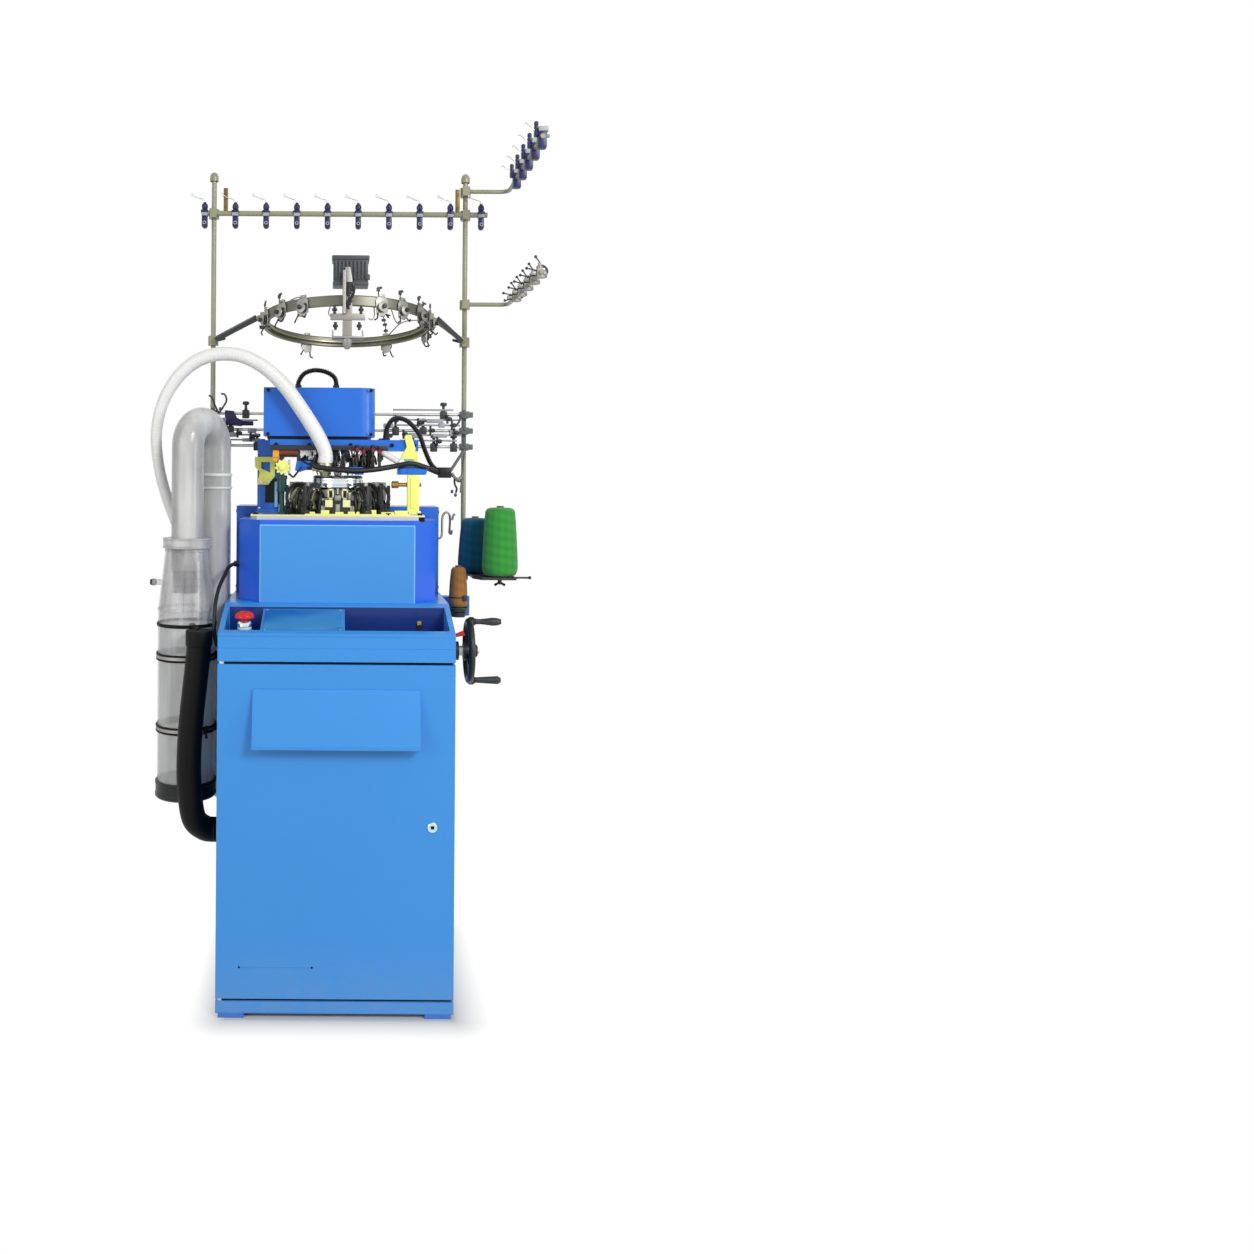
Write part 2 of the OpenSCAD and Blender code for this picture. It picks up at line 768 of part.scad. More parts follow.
// Yellow post on the right with its cap plate, upper wedge and thumb screw
module right_post() {
    y = head_y0 - 2;
    d = 22;
    cap_t = 20;
    cap_z = bed_top + post_h;
    place() translate([post_left, y, 0]) color("khaki") {
        difference() {
            union() {
                translate([0, 0, bed_top]) cube([post_w, d, post_h]);
                translate([-4, -5, bed_top]) cube([post_w + 8, d + 8, 8]);
            }
            translate([-cut, d / 2, bed_top + 72]) rod_x(10 + 2 * fit, post_w + 2 * cut);
        }
        translate([0, 2, cap_z]) deep(d + 14)
            polygon([[-24, 0], [44, 0], [53, cap_t], [-12, cap_t], [-24, cap_t - 4]]);
        translate([0, 4, 0]) deep(d) polygon([
            [-10, cap_z + cap_t], [25, cap_z + cap_t], [25, plate_z], [8, plate_z]
        ]);
        translate([-38, d / 2, bed_top + 72]) {
            rod_x(10, 38 + post_w + 4);
            rod_x(17, 18);
        }
    }
}

// Folded plate over the head, with the bearing boss of the dial
module head_plate() {
    bore = dial_shaft + 2 * fit;
    place() color("royalblue") difference() {
        union() {
            translate([0, 0, plate_z]) linear_extrude(head_plate_t)
                polygon([
                    [-165, head_y0], [194, head_y0], [194, 360], [120, 396], [column_x, 396],
                    [column_x, column_y], [-165, column_y]
                ]);
            translate([0, cyl_y, plate_z - boss_h]) cylinder(d = 46, h = boss_h + cut);
        }
        translate([0, cyl_y, plate_z - boss_h - cut]) cylinder(d = bore, h = boss_h + 16);
    }
}

// Outline of the head cover, its right front corner round, set in by a distance
module head_outline(in) {
    x0 = -181 + in;
    x1 = -181 + head_w - in;
    y0 = head_y0 + 4 + in;
    y1 = head_y0 + 4 + head_d - in;
    r = head_r - in;
    polygon(concat([[x0, y0]], arc([x1 - r, y0 + r], r, -90, 0, 10), [[x1, y1], [x0, y1]]));
}

// Sheet cover over the head, on a spacer that leaves a dark gap
module head_cover() {
    place() translate([0, 0, plate_top]) color("royalblue") difference() {
        union() {
            linear_extrude(cover_gap + cut) head_outline(9);
            translate([0, 0, cover_gap]) linear_extrude(head_h) head_outline(0);
        }
        translate([0, 0, -cut]) linear_extrude(cover_gap + head_h - sheet + cut) head_outline(9 + sheet);
    }
}

// Slotted needle cylinder on its hollow shaft
module needle_cylinder() {
    disc_t = 6;
    wall = 8;
    place() translate([0, cyl_y, 0]) color("silver") difference() {
        union() {
            translate([0, 0, bed_top - disc_t]) linear_extrude(cyl_h + disc_t)
                polygon(toothed(needles, cyl_d / 2, cyl_d / 2 - slot_depth, 0.45));
            translate([0, 0, case_z0 + 8]) cylinder(d = tube_d, h = bed_top - case_z0 - 8);
        }
        translate([0, 0, bed_top]) cylinder(d = cyl_d - 2 * wall, h = cyl_h + cut);
        translate([0, 0, case_z0]) cylinder(d = tube_d - 2 * tube_wall, h = bed_top - case_z0 + cut);
    }
}

// Slotted dial over the cylinder, hanging on its shaft in the head plate
module dial() {
    place() translate([0, cyl_y, dial_z]) color("lightgray") {
        linear_extrude(dial_t) polygon(toothed(needles, dial_d / 2, dial_d / 2 - 5, 0.4));
        translate([0, 0, dial_t - cut]) cylinder(d = 56, h = 9);
        cylinder(d = dial_shaft, h = plate_z - dial_z + 12);
    }
}

// Bright sinker ring round the top of the cylinder, on three studs, with a grooved inner edge
module sinker_ring() {
    outer = sinker_d / 2;
    inner = ring_bore / 2;
    stud_r = (outer + inner) / 2;
    crown = 6;
    round_edge = 5;
    place() translate([0, cyl_y, 0]) color("gainsboro") {
        difference() {
            translate([0, 0, cyl_top - cut]) rotate_extrude()
                polygon([
                    [inner, 0], [outer - round_edge, 0], [outer, round_edge],
                    [outer, sinker_h - round_edge], [outer - round_edge, sinker_h], [inner, sinker_h]
                ]);
            translate([0, 0, cyl_top - cut + sinker_h - crown]) linear_extrude(crown + cut)
                polygon(toothed(needles, inner + 4, inner - 0.2, 0.55));
        }
        for (a = [30, 150, 270])
            rotate([0, 0, a]) translate([stud_r, 0, bed_top + cam_ring_h])
                cylinder(d = 10, h = cyl_h - cam_ring_h);
    }
}

// Cam ring on the bed with windows, bolted cam blocks and two uprights in front
module cam_ring() {
    inner = ring_bore / 2;
    windows = 6;
    place() translate([0, cyl_y, bed_top]) color("dimgray") {
        difference() {
            cylinder(d = cam_ring_d, h = cam_ring_h);
            translate([0, 0, -cut]) cylinder(r = inner, h = cam_ring_h + 2 * cut);
            translate([-cam_ring_d / 2, rear_y - 1 - cyl_y, -cut])
                cube([cam_ring_d, cam_ring_d / 2, cam_ring_h + 2 * cut]);
            for (i = [0:windows - 1])
                rotate([0, 0, 360 * i / windows])
                    translate([0, -13, 12]) cube([cam_ring_d, 26, cam_ring_h]);
        }
        for (x = [-17, 17])
            translate([x - 7, -inner - 34, cam_ring_h]) difference() {
                cube([14, 16, 26]);
                translate([-cut, 5, 7]) cube([16, 7, 9]);
            }
    }
}

// Plate under the head with its studs, the nozzle of the suction hose and eight yarn fingers
module yarn_fingers() {
    stud_h = plate_z - finger_z - 8;
    place() translate([0, cyl_y, finger_z]) color("darkslategray") {
        difference() {
            cylinder(d = 196, h = 8);
            translate([0, 0, -cut]) cylinder(d = 128, h = 10);
        }
        for (a = [20, 160, 328])
            rotate([0, 0, a]) translate([86, 0, 8 - cut]) cylinder(d = 11, h = stud_h + cut);
        for (a = [196, 214, 232, 278, 296, 330, 345, 100])
            rotate([0, 0, a]) {
                translate([70, -6, 7]) cube([24, 12, 18]);
                translate([50, -2, -6]) cube([40, 4, 9]);
                translate([50, -2, -12]) cube([6, 4, 8]);
                translate([76, -2, 24]) cube([5, 4, 12]);
            }
        translate([nozzle_x, nozzle_y - cyl_y, -4]) difference() {
            cylinder(d = suction_d + 6, h = 22);
            translate([0, 0, 20.5]) cylinder(d = suction_d + 2 * seat, h = 4);
        }
    }
}

// Needle selector units round the cylinder, each a block with a stack of blades
module selector_units() {
    blades = 7;
    w = 22;
    place() translate([0, cyl_y, bed_top]) color("black")
        for (a = [180, 152, 232, 305, 325, 0, 28])
            rotate([0, 0, a]) translate([cam_ring_d / 2 + 2, -w / 2, 0])
                deep(w) polygon(concat(
                    [[30, 0], [30, 84], [4, 84]],
                    [for (i = [blades - 1:-1:0], k = [0:3])
                        [k == 1 || k == 2 ? -24 : 4, cam_ring_h + 6 + i * 6 + (k < 2 ? 2.4 : 0)]],
                    [[4, 0]]
                ));
}

// Air cylinder on the bed and the small motor under the head plate
module head_actuators() {
    place() {
        color("teal") translate([-124, 243, bed_top]) {
            cylinder(d = 26, h = 6);
            cylinder(d = 19, h = 88);
            cylinder(d = 7, h = 104);
        }
        color("saddlebrown") translate([-156, head_y0 + 18, plate_z]) {
            translate([0, 0, -14]) rod_x(28, 62);
            translate([6, -13, -14]) cube([50, 26, 14]);
        }
    }
}

// Corrugated conduits on the head and a thin lead at the housing, with a connector block
module cables() {
    place() color("black") {
        sweep(top_loop, loop_d, 8);
        sweep(side_loop, loop_d, 8);
        sweep(thin_lead, lead_d, 8);
        translate([246, 282, 1188]) cube([32, 22, 26]);
    }
}

// Soft white suction hose from the head over to the funnel
module suction_hose() {
    place() color("whitesmoke") sweep(suction_route, suction_d, 10);
}

// Bend of the duct with its two legs, in the bend's own frame, as wall or as bore
module duct_bend(r, past) {
    left = bend_z - funnel_top + duct_dip + past;
    translate([(leg_x - can_x) / 2, (cyl_y + can_y) / 2, bend_z]) rotate([0, 0, bend_turn]) {
        rotate([90, 0, 0]) rotate_extrude(angle = 180) translate([bend_r, 0]) circle(r = r);
        translate([-bend_r, 0, -left]) cylinder(r = r, h = left);
        translate([bend_r, 0, joint_z - bend_z]) cylinder(r = r, h = bend_z - joint_z);
    }
}

// Lower part of the duct: riser, elbow and the stub through the cabinet wall, as wall or as bore
module duct_riser(r, past) {
    translate([leg_x, cyl_y, low_z + elbow_r]) cylinder(r = r, h = joint_z - low_z - elbow_r);
    translate([leg_x + elbow_r, cyl_y, low_z + elbow_r]) rotate([90, 0, 0])
        rotate_extrude(start = 180, angle = 90) translate([elbow_r, 0]) circle(r = r);
    translate([leg_x + elbow_r, cyl_y, low_z]) rod_x(2 * r, duct_in + past);
}

// Clear duct: out of the cabinet, up its side, over in a tight bend and down to the funnel
module air_duct() {
    place() color("lightgray", 0.5) difference() {
        union() {
            duct_bend(duct_r, 0);
            duct_riser(duct_r + riser_more, 0);
            translate([leg_x, cyl_y, joint_z - sleeve_h / 2])
                cylinder(r = duct_r + 2 * riser_more, h = sleeve_h);
        }
        duct_bend(duct_r - duct_wall, cut);
        duct_riser(duct_r + riser_more - duct_wall, cut);
    }
}

// White collar that joins the duct to the funnel
module duct_collar() {
    grip = 8;
    place() translate([-can_x, can_y, funnel_top - grip]) color("white") difference() {
        cylinder(d = funnel_top_d + 10, h = duct_collar_h);
        translate([0, 0, -cut]) cylinder(d = funnel_top_d + 2 * fit, h = grip + cut);
        translate([0, 0, -cut]) cylinder(d = duct_d + 2 * fit, h = duct_collar_h + 2 * cut);
    }
}

// Clear funnel with a straight foot, a spigot for the suction hose and a nipple
module funnel() {
    foot_h = 34;
    neck_h = 14;
    wall = 3;
    r0 = can_d / 2;
    r1 = funnel_top_d / 2;
    hose_end = suction_route[len(suction_route) - 1];
    place() color("darkgray", 0.6) difference() {
        union() {
            translate([-can_x, can_y, funnel_z]) rotate_extrude()
                polygon([
                    [0, 0], [r0, 0], [r0, foot_h], [r1, funnel_h - neck_h], [r1, funnel_h], [0, funnel_h]
                ]);
            translate([hose_end.x, hose_end.y, hose_end.z - 62]) cylinder(d = suction_d + 4, h = 62);
            translate([-can_x - r0 - 12, can_y, funnel_z + 97]) rod_x(14, 40);
        }
        translate([-can_x, can_y, funnel_z]) rotate_extrude()
            polygon([
                [0, -cut], [r0 - wall, -cut], [r0 - wall, foot_h], [r1 - wall, funnel_h - neck_h],
                [r1 - wall, funnel_h + cut], [0, funnel_h + cut]
            ]);
    }
}

// Clear canister, open at both ends
module canister() {
    wall = 3;
    height = funnel_z - can_z;
    place() translate([-can_x, can_y, can_z]) color("silver", 0.6) difference() {
        cylinder(d = can_d, h = height);
        translate([0, 0, -cut]) cylinder(d = can_d - 2 * wall, h = height + 2 * cut);
    }
}

// Black bands round the canister, two with a wall clamp, the seal with the outlet, and the bottom cap
module canister_rings() {
    outer = can_d + 2 * band_t;
    bore = can_d + 2 * fit;
    reach = can_x - half;
    place() translate([-can_x, can_y, 0]) color("black") {
        for (z = [755, 587])
            difference() {
                union() {
                    translate([0, 0, z]) cylinder(d = outer, h = 20);
                    translate([can_d / 2, -9, z]) cube([reach - can_d / 2, 18, 20]);
                    translate([can_d / 2 + 14, -16, z + 4]) cube([6, 32, 12]);
                }
                translate([0, 0, z - cut]) cylinder(d = bore, h = 20 + 2 * cut);
            }
        difference() {
            union() {
                translate([0, 0, funnel_z - 8]) cylinder(d = outer + 6, h = 20);
                translate([can_x + outlet_x, outlet_y - can_y, outlet_z])
                    cylinder(d = black_d + 4, h = 36);
                rod_between(
                    [0, 0, funnel_z + 2], [can_x + outlet_x, outlet_y - can_y, funnel_z + 2], 19);
            }
            translate([0, 0, funnel_z - 30]) cylinder(d = bore, h = 60);
        }
        difference() {
            union() {
                translate([0, 0, can_z - 5]) cylinder(d = outer + 4, h = 40);
                translate([0, 0, can_z - 19]) cylinder(d = outer - 10, h = 19);
                translate([0, 0, can_z - 44]) cylinder(d = 25, h = 40);
            }
            translate([0, 0, can_z]) cylinder(d = bore, h = 40);
            translate([0, 0, can_z - 44 - cut]) cylinder(d = 17, h = 30);
        }
    }
}

// Fat black hose from the canister's outlet into the cabinet wall
module black_hose() {
    place() color("black") sweep(black_route, black_d, 12);
}

// Tray for the yarn packages, clamped to the right post, and the cup of the small package
module cone_tray() {
    t = tray_t;
    place() color("dimgray") {
        difference() {
            union() {
                translate([0, 0, tray_z]) linear_extrude(t) polygon([
                    [post_x - 14, post_y], [post_x + 14, post_y], [396, 440], green_at + [35, 30],
                    green_at + [35, -38], green_at - [49, 38], [334, 300], [334, 360], [post_x - 14, 430]
                ]);
                translate([post_x, post_y, tray_z - 20]) cylinder(d = clamp_d, h = 34);
                for (p = [green_at, teal_at])
                    translate([p.x, p.y, tray_z + t - cut]) cylinder(d = peg_d, h = 60);
                translate([430, green_at.y, tray_z + t / 2]) rod_x(5, tray_reach - 430);
            }
            translate([post_x, post_y, tray_z - 21]) cylinder(d = post_d + 2 * fit, h = 40);
        }
        difference() {
            union() {
                translate([orange_at.x, orange_at.y, 842]) cylinder(d1 = 34, d2 = 50, h = 22);
                translate([half, orange_at.y - 11, 850]) cube([orange_at.x - half, 22, 10]);
                translate([orange_at.x, orange_at.y, 850]) cylinder(d = peg_d, h = 80);
            }
            translate([orange_at.x, orange_at.y, 852]) difference() {
                cylinder(d = 44, h = 20);
                translate([0, 0, -cut]) cylinder(d = 14, h = 22);
            }
        }
    }
}

// Yarn package wound on its core, standing on a peg
module yarn_package(d_foot, d_top, height, core_d) {
    lead = d_foot / 9;
    difference() {
        rotate_extrude() polygon([
            [0, 0], [core_d / 2 + 8, 0], [core_d / 2 + 8, 5], [d_foot / 2 - lead, 7],
            [d_foot / 2, 7 + lead], [d_foot / 2 - 1, 7 + 2 * lead],
            [d_top / 2 + 1, height - 2 * lead], [d_top / 2 - 2, height - lead],
            [core_d / 2 + 2, height - 6], [core_d / 2 + 1, height], [0, height]
        ]);
        translate([0, 0, -cut]) cylinder(d = peg_d + 2 * seat, h = height + 2 * cut);
    }
}

// Green yarn package
module green_cone() {
    place() color("limegreen") translate([green_at.x, green_at.y, tray_z + tray_t])
        yarn_package(cone_d, cone_d * 0.86, green_h, 22);
}

// Teal yarn package
module teal_cone() {
    place() color("teal") translate([teal_at.x, teal_at.y, tray_z + tray_t])
        yarn_package(cone_d, cone_d * 0.82, green_h - 30, 22);
}

// Small orange package in its cup
module orange_cone() {
    place() color("peru") translate([orange_at.x, orange_at.y, 864 + seat])
        yarn_package(46, 38, 104, 20);
}

// Cast handwheel with its boss, spokes, rim and the two pins of the handles
module handwheel() {
    hub_d = 42;
    hub_l = 30;
    place() translate([wheel_x, cyl_y, shaft_z]) color("black") difference() {
        union() {
            rotate([0, 90, 0]) rotate_extrude() translate([wheel_r, 0]) circle(d = rim_d);
            translate([-hub_l / 2, 0, 0]) rod_x(hub_d, hub_l);
            for (i = [0:spokes - 1])
                rotate([360 * i / spokes, 0, 0]) cylinder(d1 = 17, d2 = 12, h = wheel_r);
            for (side = [-1, 1])
                translate([0, 0, side * wheel_r]) {
                    rod_x(20, rim_d / 2 + 5);
                    rod_x(handle_pin, rim_d / 2 + 5 + handle_len + 3);
                    translate([rim_d / 2 + 5 + handle_len + 2 * seat, 0, 0]) rod_x(13, 3);
                }
        }
        translate([-hub_l / 2 - cut, 0, 0]) rod_x(shaft_d + 2 * fit, hub_l + 2 * cut);
    }
}

// Handle turned to a profile, free on its pin
module spin_handle(side, profile) {
    place() translate([wheel_x + rim_d / 2 + 5 + seat, cyl_y, shaft_z + side * wheel_r])
        color("dimgray") rotate([0, 90, 0]) difference() {
            rotate_extrude() polygon(concat([[0, 0]], profile, [[0, handle_len]]));
            translate([0, 0, -cut]) cylinder(d = handle_pin + 2 * fit, h = handle_len + 2 * cut);
        }
}

// Swelling upper handle
module upper_handle() {
    spin_handle(1, [
        [7, 0], [6.5, handle_len * 0.25], [8, handle_len * 0.45], [handle_d / 2, handle_len * 0.7],
        [handle_d / 2 - 0.5, handle_len * 0.88], [7.5, handle_len]
    ]);
}

// Tapered lower handle
module lower_handle() {
    spin_handle(-1, [
        [6.5, 0], [7, handle_len * 0.1], [handle_d / 2, handle_len - 4], [handle_d / 2 - 2, handle_len]
    ]);
}

// Flanged bearing of the drive shaft on the cabinet's right side
module wheel_bearing() {
    plate = 84;
    place() translate([0, cyl_y, shaft_z]) color("darkslategray") difference() {
        union() {
            translate([half, -plate / 2, -plate / 2]) cube([10, plate, plate]);
            translate([half, 0, 0]) rod_x(bearing_d, bearing_reach);
            translate([half - 22, 0, 0]) rod_x(bearing_d - 6, 24);
        }
        translate([half - 24, 0, 0]) rod_x(shaft_d + 2 * fit, bearing_reach + 30);
        for (y = [-32, 32], z = [-32, 32])
            translate([half - cut, y, z]) rod_x(9, 12);
    }
}

// Cast brackets that hold the creel posts at the sides of the console
module post_brackets() {
    height = 50;
    floor_t = 6;
    z = deck_z - height - 16;
    place() color("royalblue")
        for (side = [0, 1])
            mirror([side, 0, 0]) difference() {
                union() {
                    translate([half, post_y - 16, z]) cube([post_x - half, 32, height]);
                    translate([half, post_y - 18, z - 5]) cube([8, 36, height + 10]);
                    translate([post_x, post_y, z]) cylinder(d = 36, h = height);
                }
                translate([post_x, post_y, z + floor_t]) cylinder(d = post_d + 2 * fit, h = height);
            }
}

// Two creel posts with pointed tops
module creel_posts() {
    z = deck_z - 66 + 6;
    tip = 14;
    place() color("darkkhaki")
        for (side = [-1, 1])
            translate([side * post_x, post_y, 0]) {
                translate([0, 0, z]) cylinder(d = post_d, h = post_top - tip - z);
                translate([0, 0, post_top - tip]) cylinder(d1 = post_d, d2 = 5, h = tip);
            }
}

// Clamp round a post, to be joined to the bar it holds
module post_clamp(z) {
    translate([0, 0, z - clamp_h / 2]) cylinder(d = clamp_d, h = clamp_h);
    translate([-9, front_y - post_y - 9, z - clamp_h / 2]) cube([18, post_y - front_y, clamp_h]);
}

// Side arm: out from the right post, round a bend and forward past the door
module side_arm(z) {
    difference() {
        union() {
            translate([post_x, post_y, 0]) post_clamp(z);
            translate([post_x, front_y, z]) rod_x(arm_d, arm_x - arm_bend - post_x);
            translate([arm_x - arm_bend, front_y - arm_bend, z])
                rotate_extrude(angle = 90) translate([arm_bend, 0]) circle(d = arm_d);
            translate([arm_x, -arm_front, z]) rod_y(arm_d, front_y - arm_bend + arm_front);
        }
        translate([post_x, post_y, z - clamp_h]) cylinder(d = post_d + 2 * fit, h = 2 * clamp_h);
    }
}

// Arm from a post to one side of the guide ring
module ring_arm(side) {
    pad_t = 12;
    tip_x = side * (ring_r - 4);
    tip = [ring_x + tip_x, cyl_y, ring_z + ring_h / 2 + 7.5];
    difference() {
        union() {
            translate([side * post_x, post_y, 0]) post_clamp(ring_clamp_z);
            rod_between([side * post_x, front_y, ring_clamp_z], tip, 12);
            on_ring() translate([tip_x, 0, ring_h / 2]) cylinder(d = 26, h = pad_t);
        }
        translate([side * post_x, post_y, ring_clamp_z - clamp_h])
            cylinder(d = post_d + 2 * fit, h = 2 * clamp_h);
    }
}

// Top bar, two side arms and two arms of the guide ring, each with its clamps
module creel_bars() {
    place() color("darkkhaki") {
        difference() {
            union() {
                translate([-bar_left, front_y, bar_z]) rod_x(bar_d, bar_left + bar_right);
                for (side = [-1, 1])
                    translate([side * post_x, post_y, 0]) post_clamp(bar_z);
                for (x = [-post_x + 26, post_x - 28])
                    translate([x, front_y - 2, bar_z]) cube([12, 4, 66]);
            }
            for (side = [-1, 1])
                translate([side * post_x, post_y, bar_z - clamp_h])
                    cylinder(d = post_d + 2 * fit, h = 2 * clamp_h);
        }
        side_arm(arm_hi);
        side_arm(arm_lo);
        ring_arm(-1);
        ring_arm(1);
    }
}

// Yarn guide block: pointed body, spring wire to the upper left and an eyelet in front
module guide_block(bore) {
    w = 9;
    difference() {
        union() {
            translate([0, -w, 0]) deep(2 * w) polygon([[-w, 26], [w, 26], [w, -20], [0, -32], [-w, -20]]);
            translate([-4, -4, 20]) cylinder(d = 3, h = 27);
            translate([-42, -4, 44]) rod_x(2.4, 38);
            translate([0, -w - 5, -14]) rod_y(9, 6);
        }
        translate([-2 * w, 0, 0]) rod_x(bore, 4 * w);
        translate([0, -w - 6, -14]) rod_y(5, 5);
    }
}

// Row of yarn guides on the top bar
module yarn_guides() {
    place() color("midnightblue")
        for (i = [0:guides - 1])
            if (abs(abs(guide_left + i * guide_pitch) - post_x) > clamp_d / 2 + 5)
                translate([guide_left + i * guide_pitch, front_y, bar_z]) guide_block(bar_d + 2 * fit);
}

// Guide units on the two side arms
module side_guides() {
    pitch = (front_y - arm_bend + arm_front - 40) / side_count;
    place() color("midnightblue")
        for (z = [arm_hi, arm_lo], i = [0:side_count - 1])
            translate([arm_x, -arm_front + 14 + i * pitch, z])
                difference() {
                    union() {
                        translate([-9, -9, z == arm_hi ? -22 : -12]) cube([18, 18, z == arm_hi ? 44 : 24]);
                        translate([-13, 0, z == arm_hi ? 8 : 2]) rod_x(z == arm_hi ? 10 : 20, 26);
                        rod_between([-4, 0, 6], [-30, -4, 34], 3);
                        translate([-30, -4, 32]) cylinder(d = 7, h = 6);
                    }
                    translate([0, -10, 0]) rod_y(arm_d + 2 * fit, 20);
                }
}

// Puts what hangs on the guide ring into the ring's tilted frame
module on_ring() {
    translate([ring_x, cyl_y, ring_z]) rotate([-ring_tilt, 0, 0]) children();
}

// Flat band of the guide ring
module guide_ring() {
    place() color("gray") on_ring() difference() {
        translate([0, 0, -ring_h / 2]) cylinder(r = ring_r, h = ring_h);
        translate([0, 0, -ring_h / 2 - cut]) cylinder(r = ring_r - ring_t, h = ring_h + 2 * cut);
    }
}

// Yarn tensioners round the guide ring: plate, disc, hook and upright wire
module ring_tensioners() {
    place() color("dimgray") on_ring()
        for (a = tensioner_angles)
            rotate([0, 0, a]) translate([ring_r + seat, 0, 0]) {
                translate([0, -13, -26]) cube([4, 26, 40]);
                translate([3, 0, -13]) rod_x(22, 8);
                translate([10, 0, -13]) rod_x(8, 10);
                rod_between([2, 9, -20], [16, 11, -42], 3);
                translate([2, -9, 6]) cylinder(d = 2.6, h = 28);
                translate([2, -9, 32]) cylinder(d = 8, h = 7);
            }
}

// Ribbed control box of the stop motion, and the bracket that carries it in front of the ring
module sensor_box() {
    strip_t = 6;
    x = ring_x + 4;
    y = cyl_y - ring_r - seat;
    z0 = 1482;
    box_w = 80;
    box_z = 1628;
    box_h = 67;
    place() {
        color("dimgray") translate([ring_x - 34, y, box_z]) difference() {
            cube([box_w, 60, box_h]);
            for (i = [0:5])
                translate([8 + i * 11, -cut, 14]) cube([5, 4, box_h - 22]);
        }
        color("darkgray") {
            translate([x - 16, y - strip_t, z0 + 12]) cube([22, strip_t, 200]);
            translate([x - 44, y - strip_t, 1547]) cube([80, strip_t, 17]);
            translate([x - 40, y - strip_t, 1505]) cube([72, strip_t, 15]);
            translate([x - 40, y - cut, 1505]) cube([72, 30, 5]);
            translate([x - 5, y - strip_t / 2, z0]) cylinder(d1 = 12, d2 = 24, h = 24);
        }
    }
}

// Cross rods between the posts behind the head
module cross_rods() {
    place() color("silver")
        for (z = cross_z)
            translate([-post_x - 8, front_y, z]) rod_x(cross_d, 2 * post_x + 16);
}

// Clamps of the cross rods, knob and block units on them, the feeler arm and a wire hook
module rod_units() {
    bore = cross_d + 2 * fit;
    z0 = cross_z[0] - 14;
    tall = cross_z[2] - z0 + 14;
    place() color("dimgray") {
        difference() {
            union() {
                for (side = [-1, 1]) translate([side * post_x - 11, front_y - 10, z0])
                    cube([22, post_y - front_y + 21, tall]);
                rod_between([post_x, front_y - 8, z0 + 8], [276, 340, 1196], 8);
                translate([268, 304, 1192]) cube([12, 48, 12]);
                rod_between([post_x, front_y - 8, z0 + 4], [post_x - 14, 420, 1150], 5);
            }
            for (side = [-1, 1], z = cross_z)
                translate([side * post_x - 20, front_y, z]) rod_x(bore, 40);
            for (side = [-1, 1])
                translate([side * post_x, post_y, z0 - cut]) cylinder(d = post_d + 2 * fit, h = tall + 2 * cut);
        }
        for (unit = [[-242, 2], [275, 2], [-282, 1], [150, 1], [222, 1], [196, 0], [-212, 0], [302, 0]])
            translate([unit[0], front_y, cross_z[unit[1]]]) difference() {
                union() {
                    translate([-9, -9, -13]) cube([18, 18, 24]);
                    cylinder(d = 7, h = 24);
                    translate([0, 0, 22]) cylinder(d = 17, h = 9);
                }
                translate([-10, 0, 0]) rod_x(bore, 20);
            }
        translate([-286, front_y - 9, 1322]) difference() {
            cube([22, 18, 44]);
            translate([-cut, 9, cross_z[2] - 1322]) rod_x(bore, 24);
        }
        for (y = [405, 435])
            translate([rear_w / 2, y, 1030]) rod_x(5, 24);
        for (x = [rear_w / 2 + 22])
            translate([x, 405, 1030]) {
                cylinder(d = 5, h = 60);
                translate([0, 30, 0]) cylinder(d = 5, h = 60);
                translate([-2.5, 0, 57]) cube([5, 30, 5]);
            }
    }
}

// Folded shelf that carries the motor and the control box
module shelf() {
    w = cab_w - 2 * sheet;
    y0 = rail_d + sheet + 12;
    place() color("lightsteelblue") difference() {
        union() {
            translate([-w / 2, y0, shelf_z]) cube([w, cab_d - sheet - y0, sheet]);
            translate([-w / 2, y0, shelf_z - 18]) cube([w, sheet, 19]);
        }
        translate([-100, cyl_y - duct_r - 12, shelf_z - cut]) cube([152, duct_d + 24, sheet + 2 * cut]);
    }
}

// Drive shaft from the gear case to the handwheel, with its belt pulley
module drive_shaft() {
    place() translate([0, cyl_y, shaft_z]) color("silver") {
        translate([shaft_in, 0, 0]) rod_x(shaft_d, wheel_x + 20 - shaft_in);
        translate([pulley_x, 0, 0]) rod_x(pulley_d, pulley_w);
        for (x = [0, pulley_w - 2])
            translate([pulley_x + x, 0, 0]) rod_x(pulley_d + 12, 2);
        translate([pulley_x - 14, 0, 0]) rod_x(44, pulley_w + 28);
    }
}

// Pulley of the motor with the motor's shaft
module motor_pulley() {
    place() translate([0, motor_y, motor_z]) color("gray") {
        translate([pulley_x - 26, 0, 0]) rod_x(motor_shaft, pulley_w + 30);
        translate([pulley_x, 0, 0]) rod_x(motor_pulley_d, pulley_w);
        for (x = [0, pulley_w - 2])
            translate([pulley_x + x, 0, 0]) rod_x(motor_pulley_d + 8, 2);
    }
}

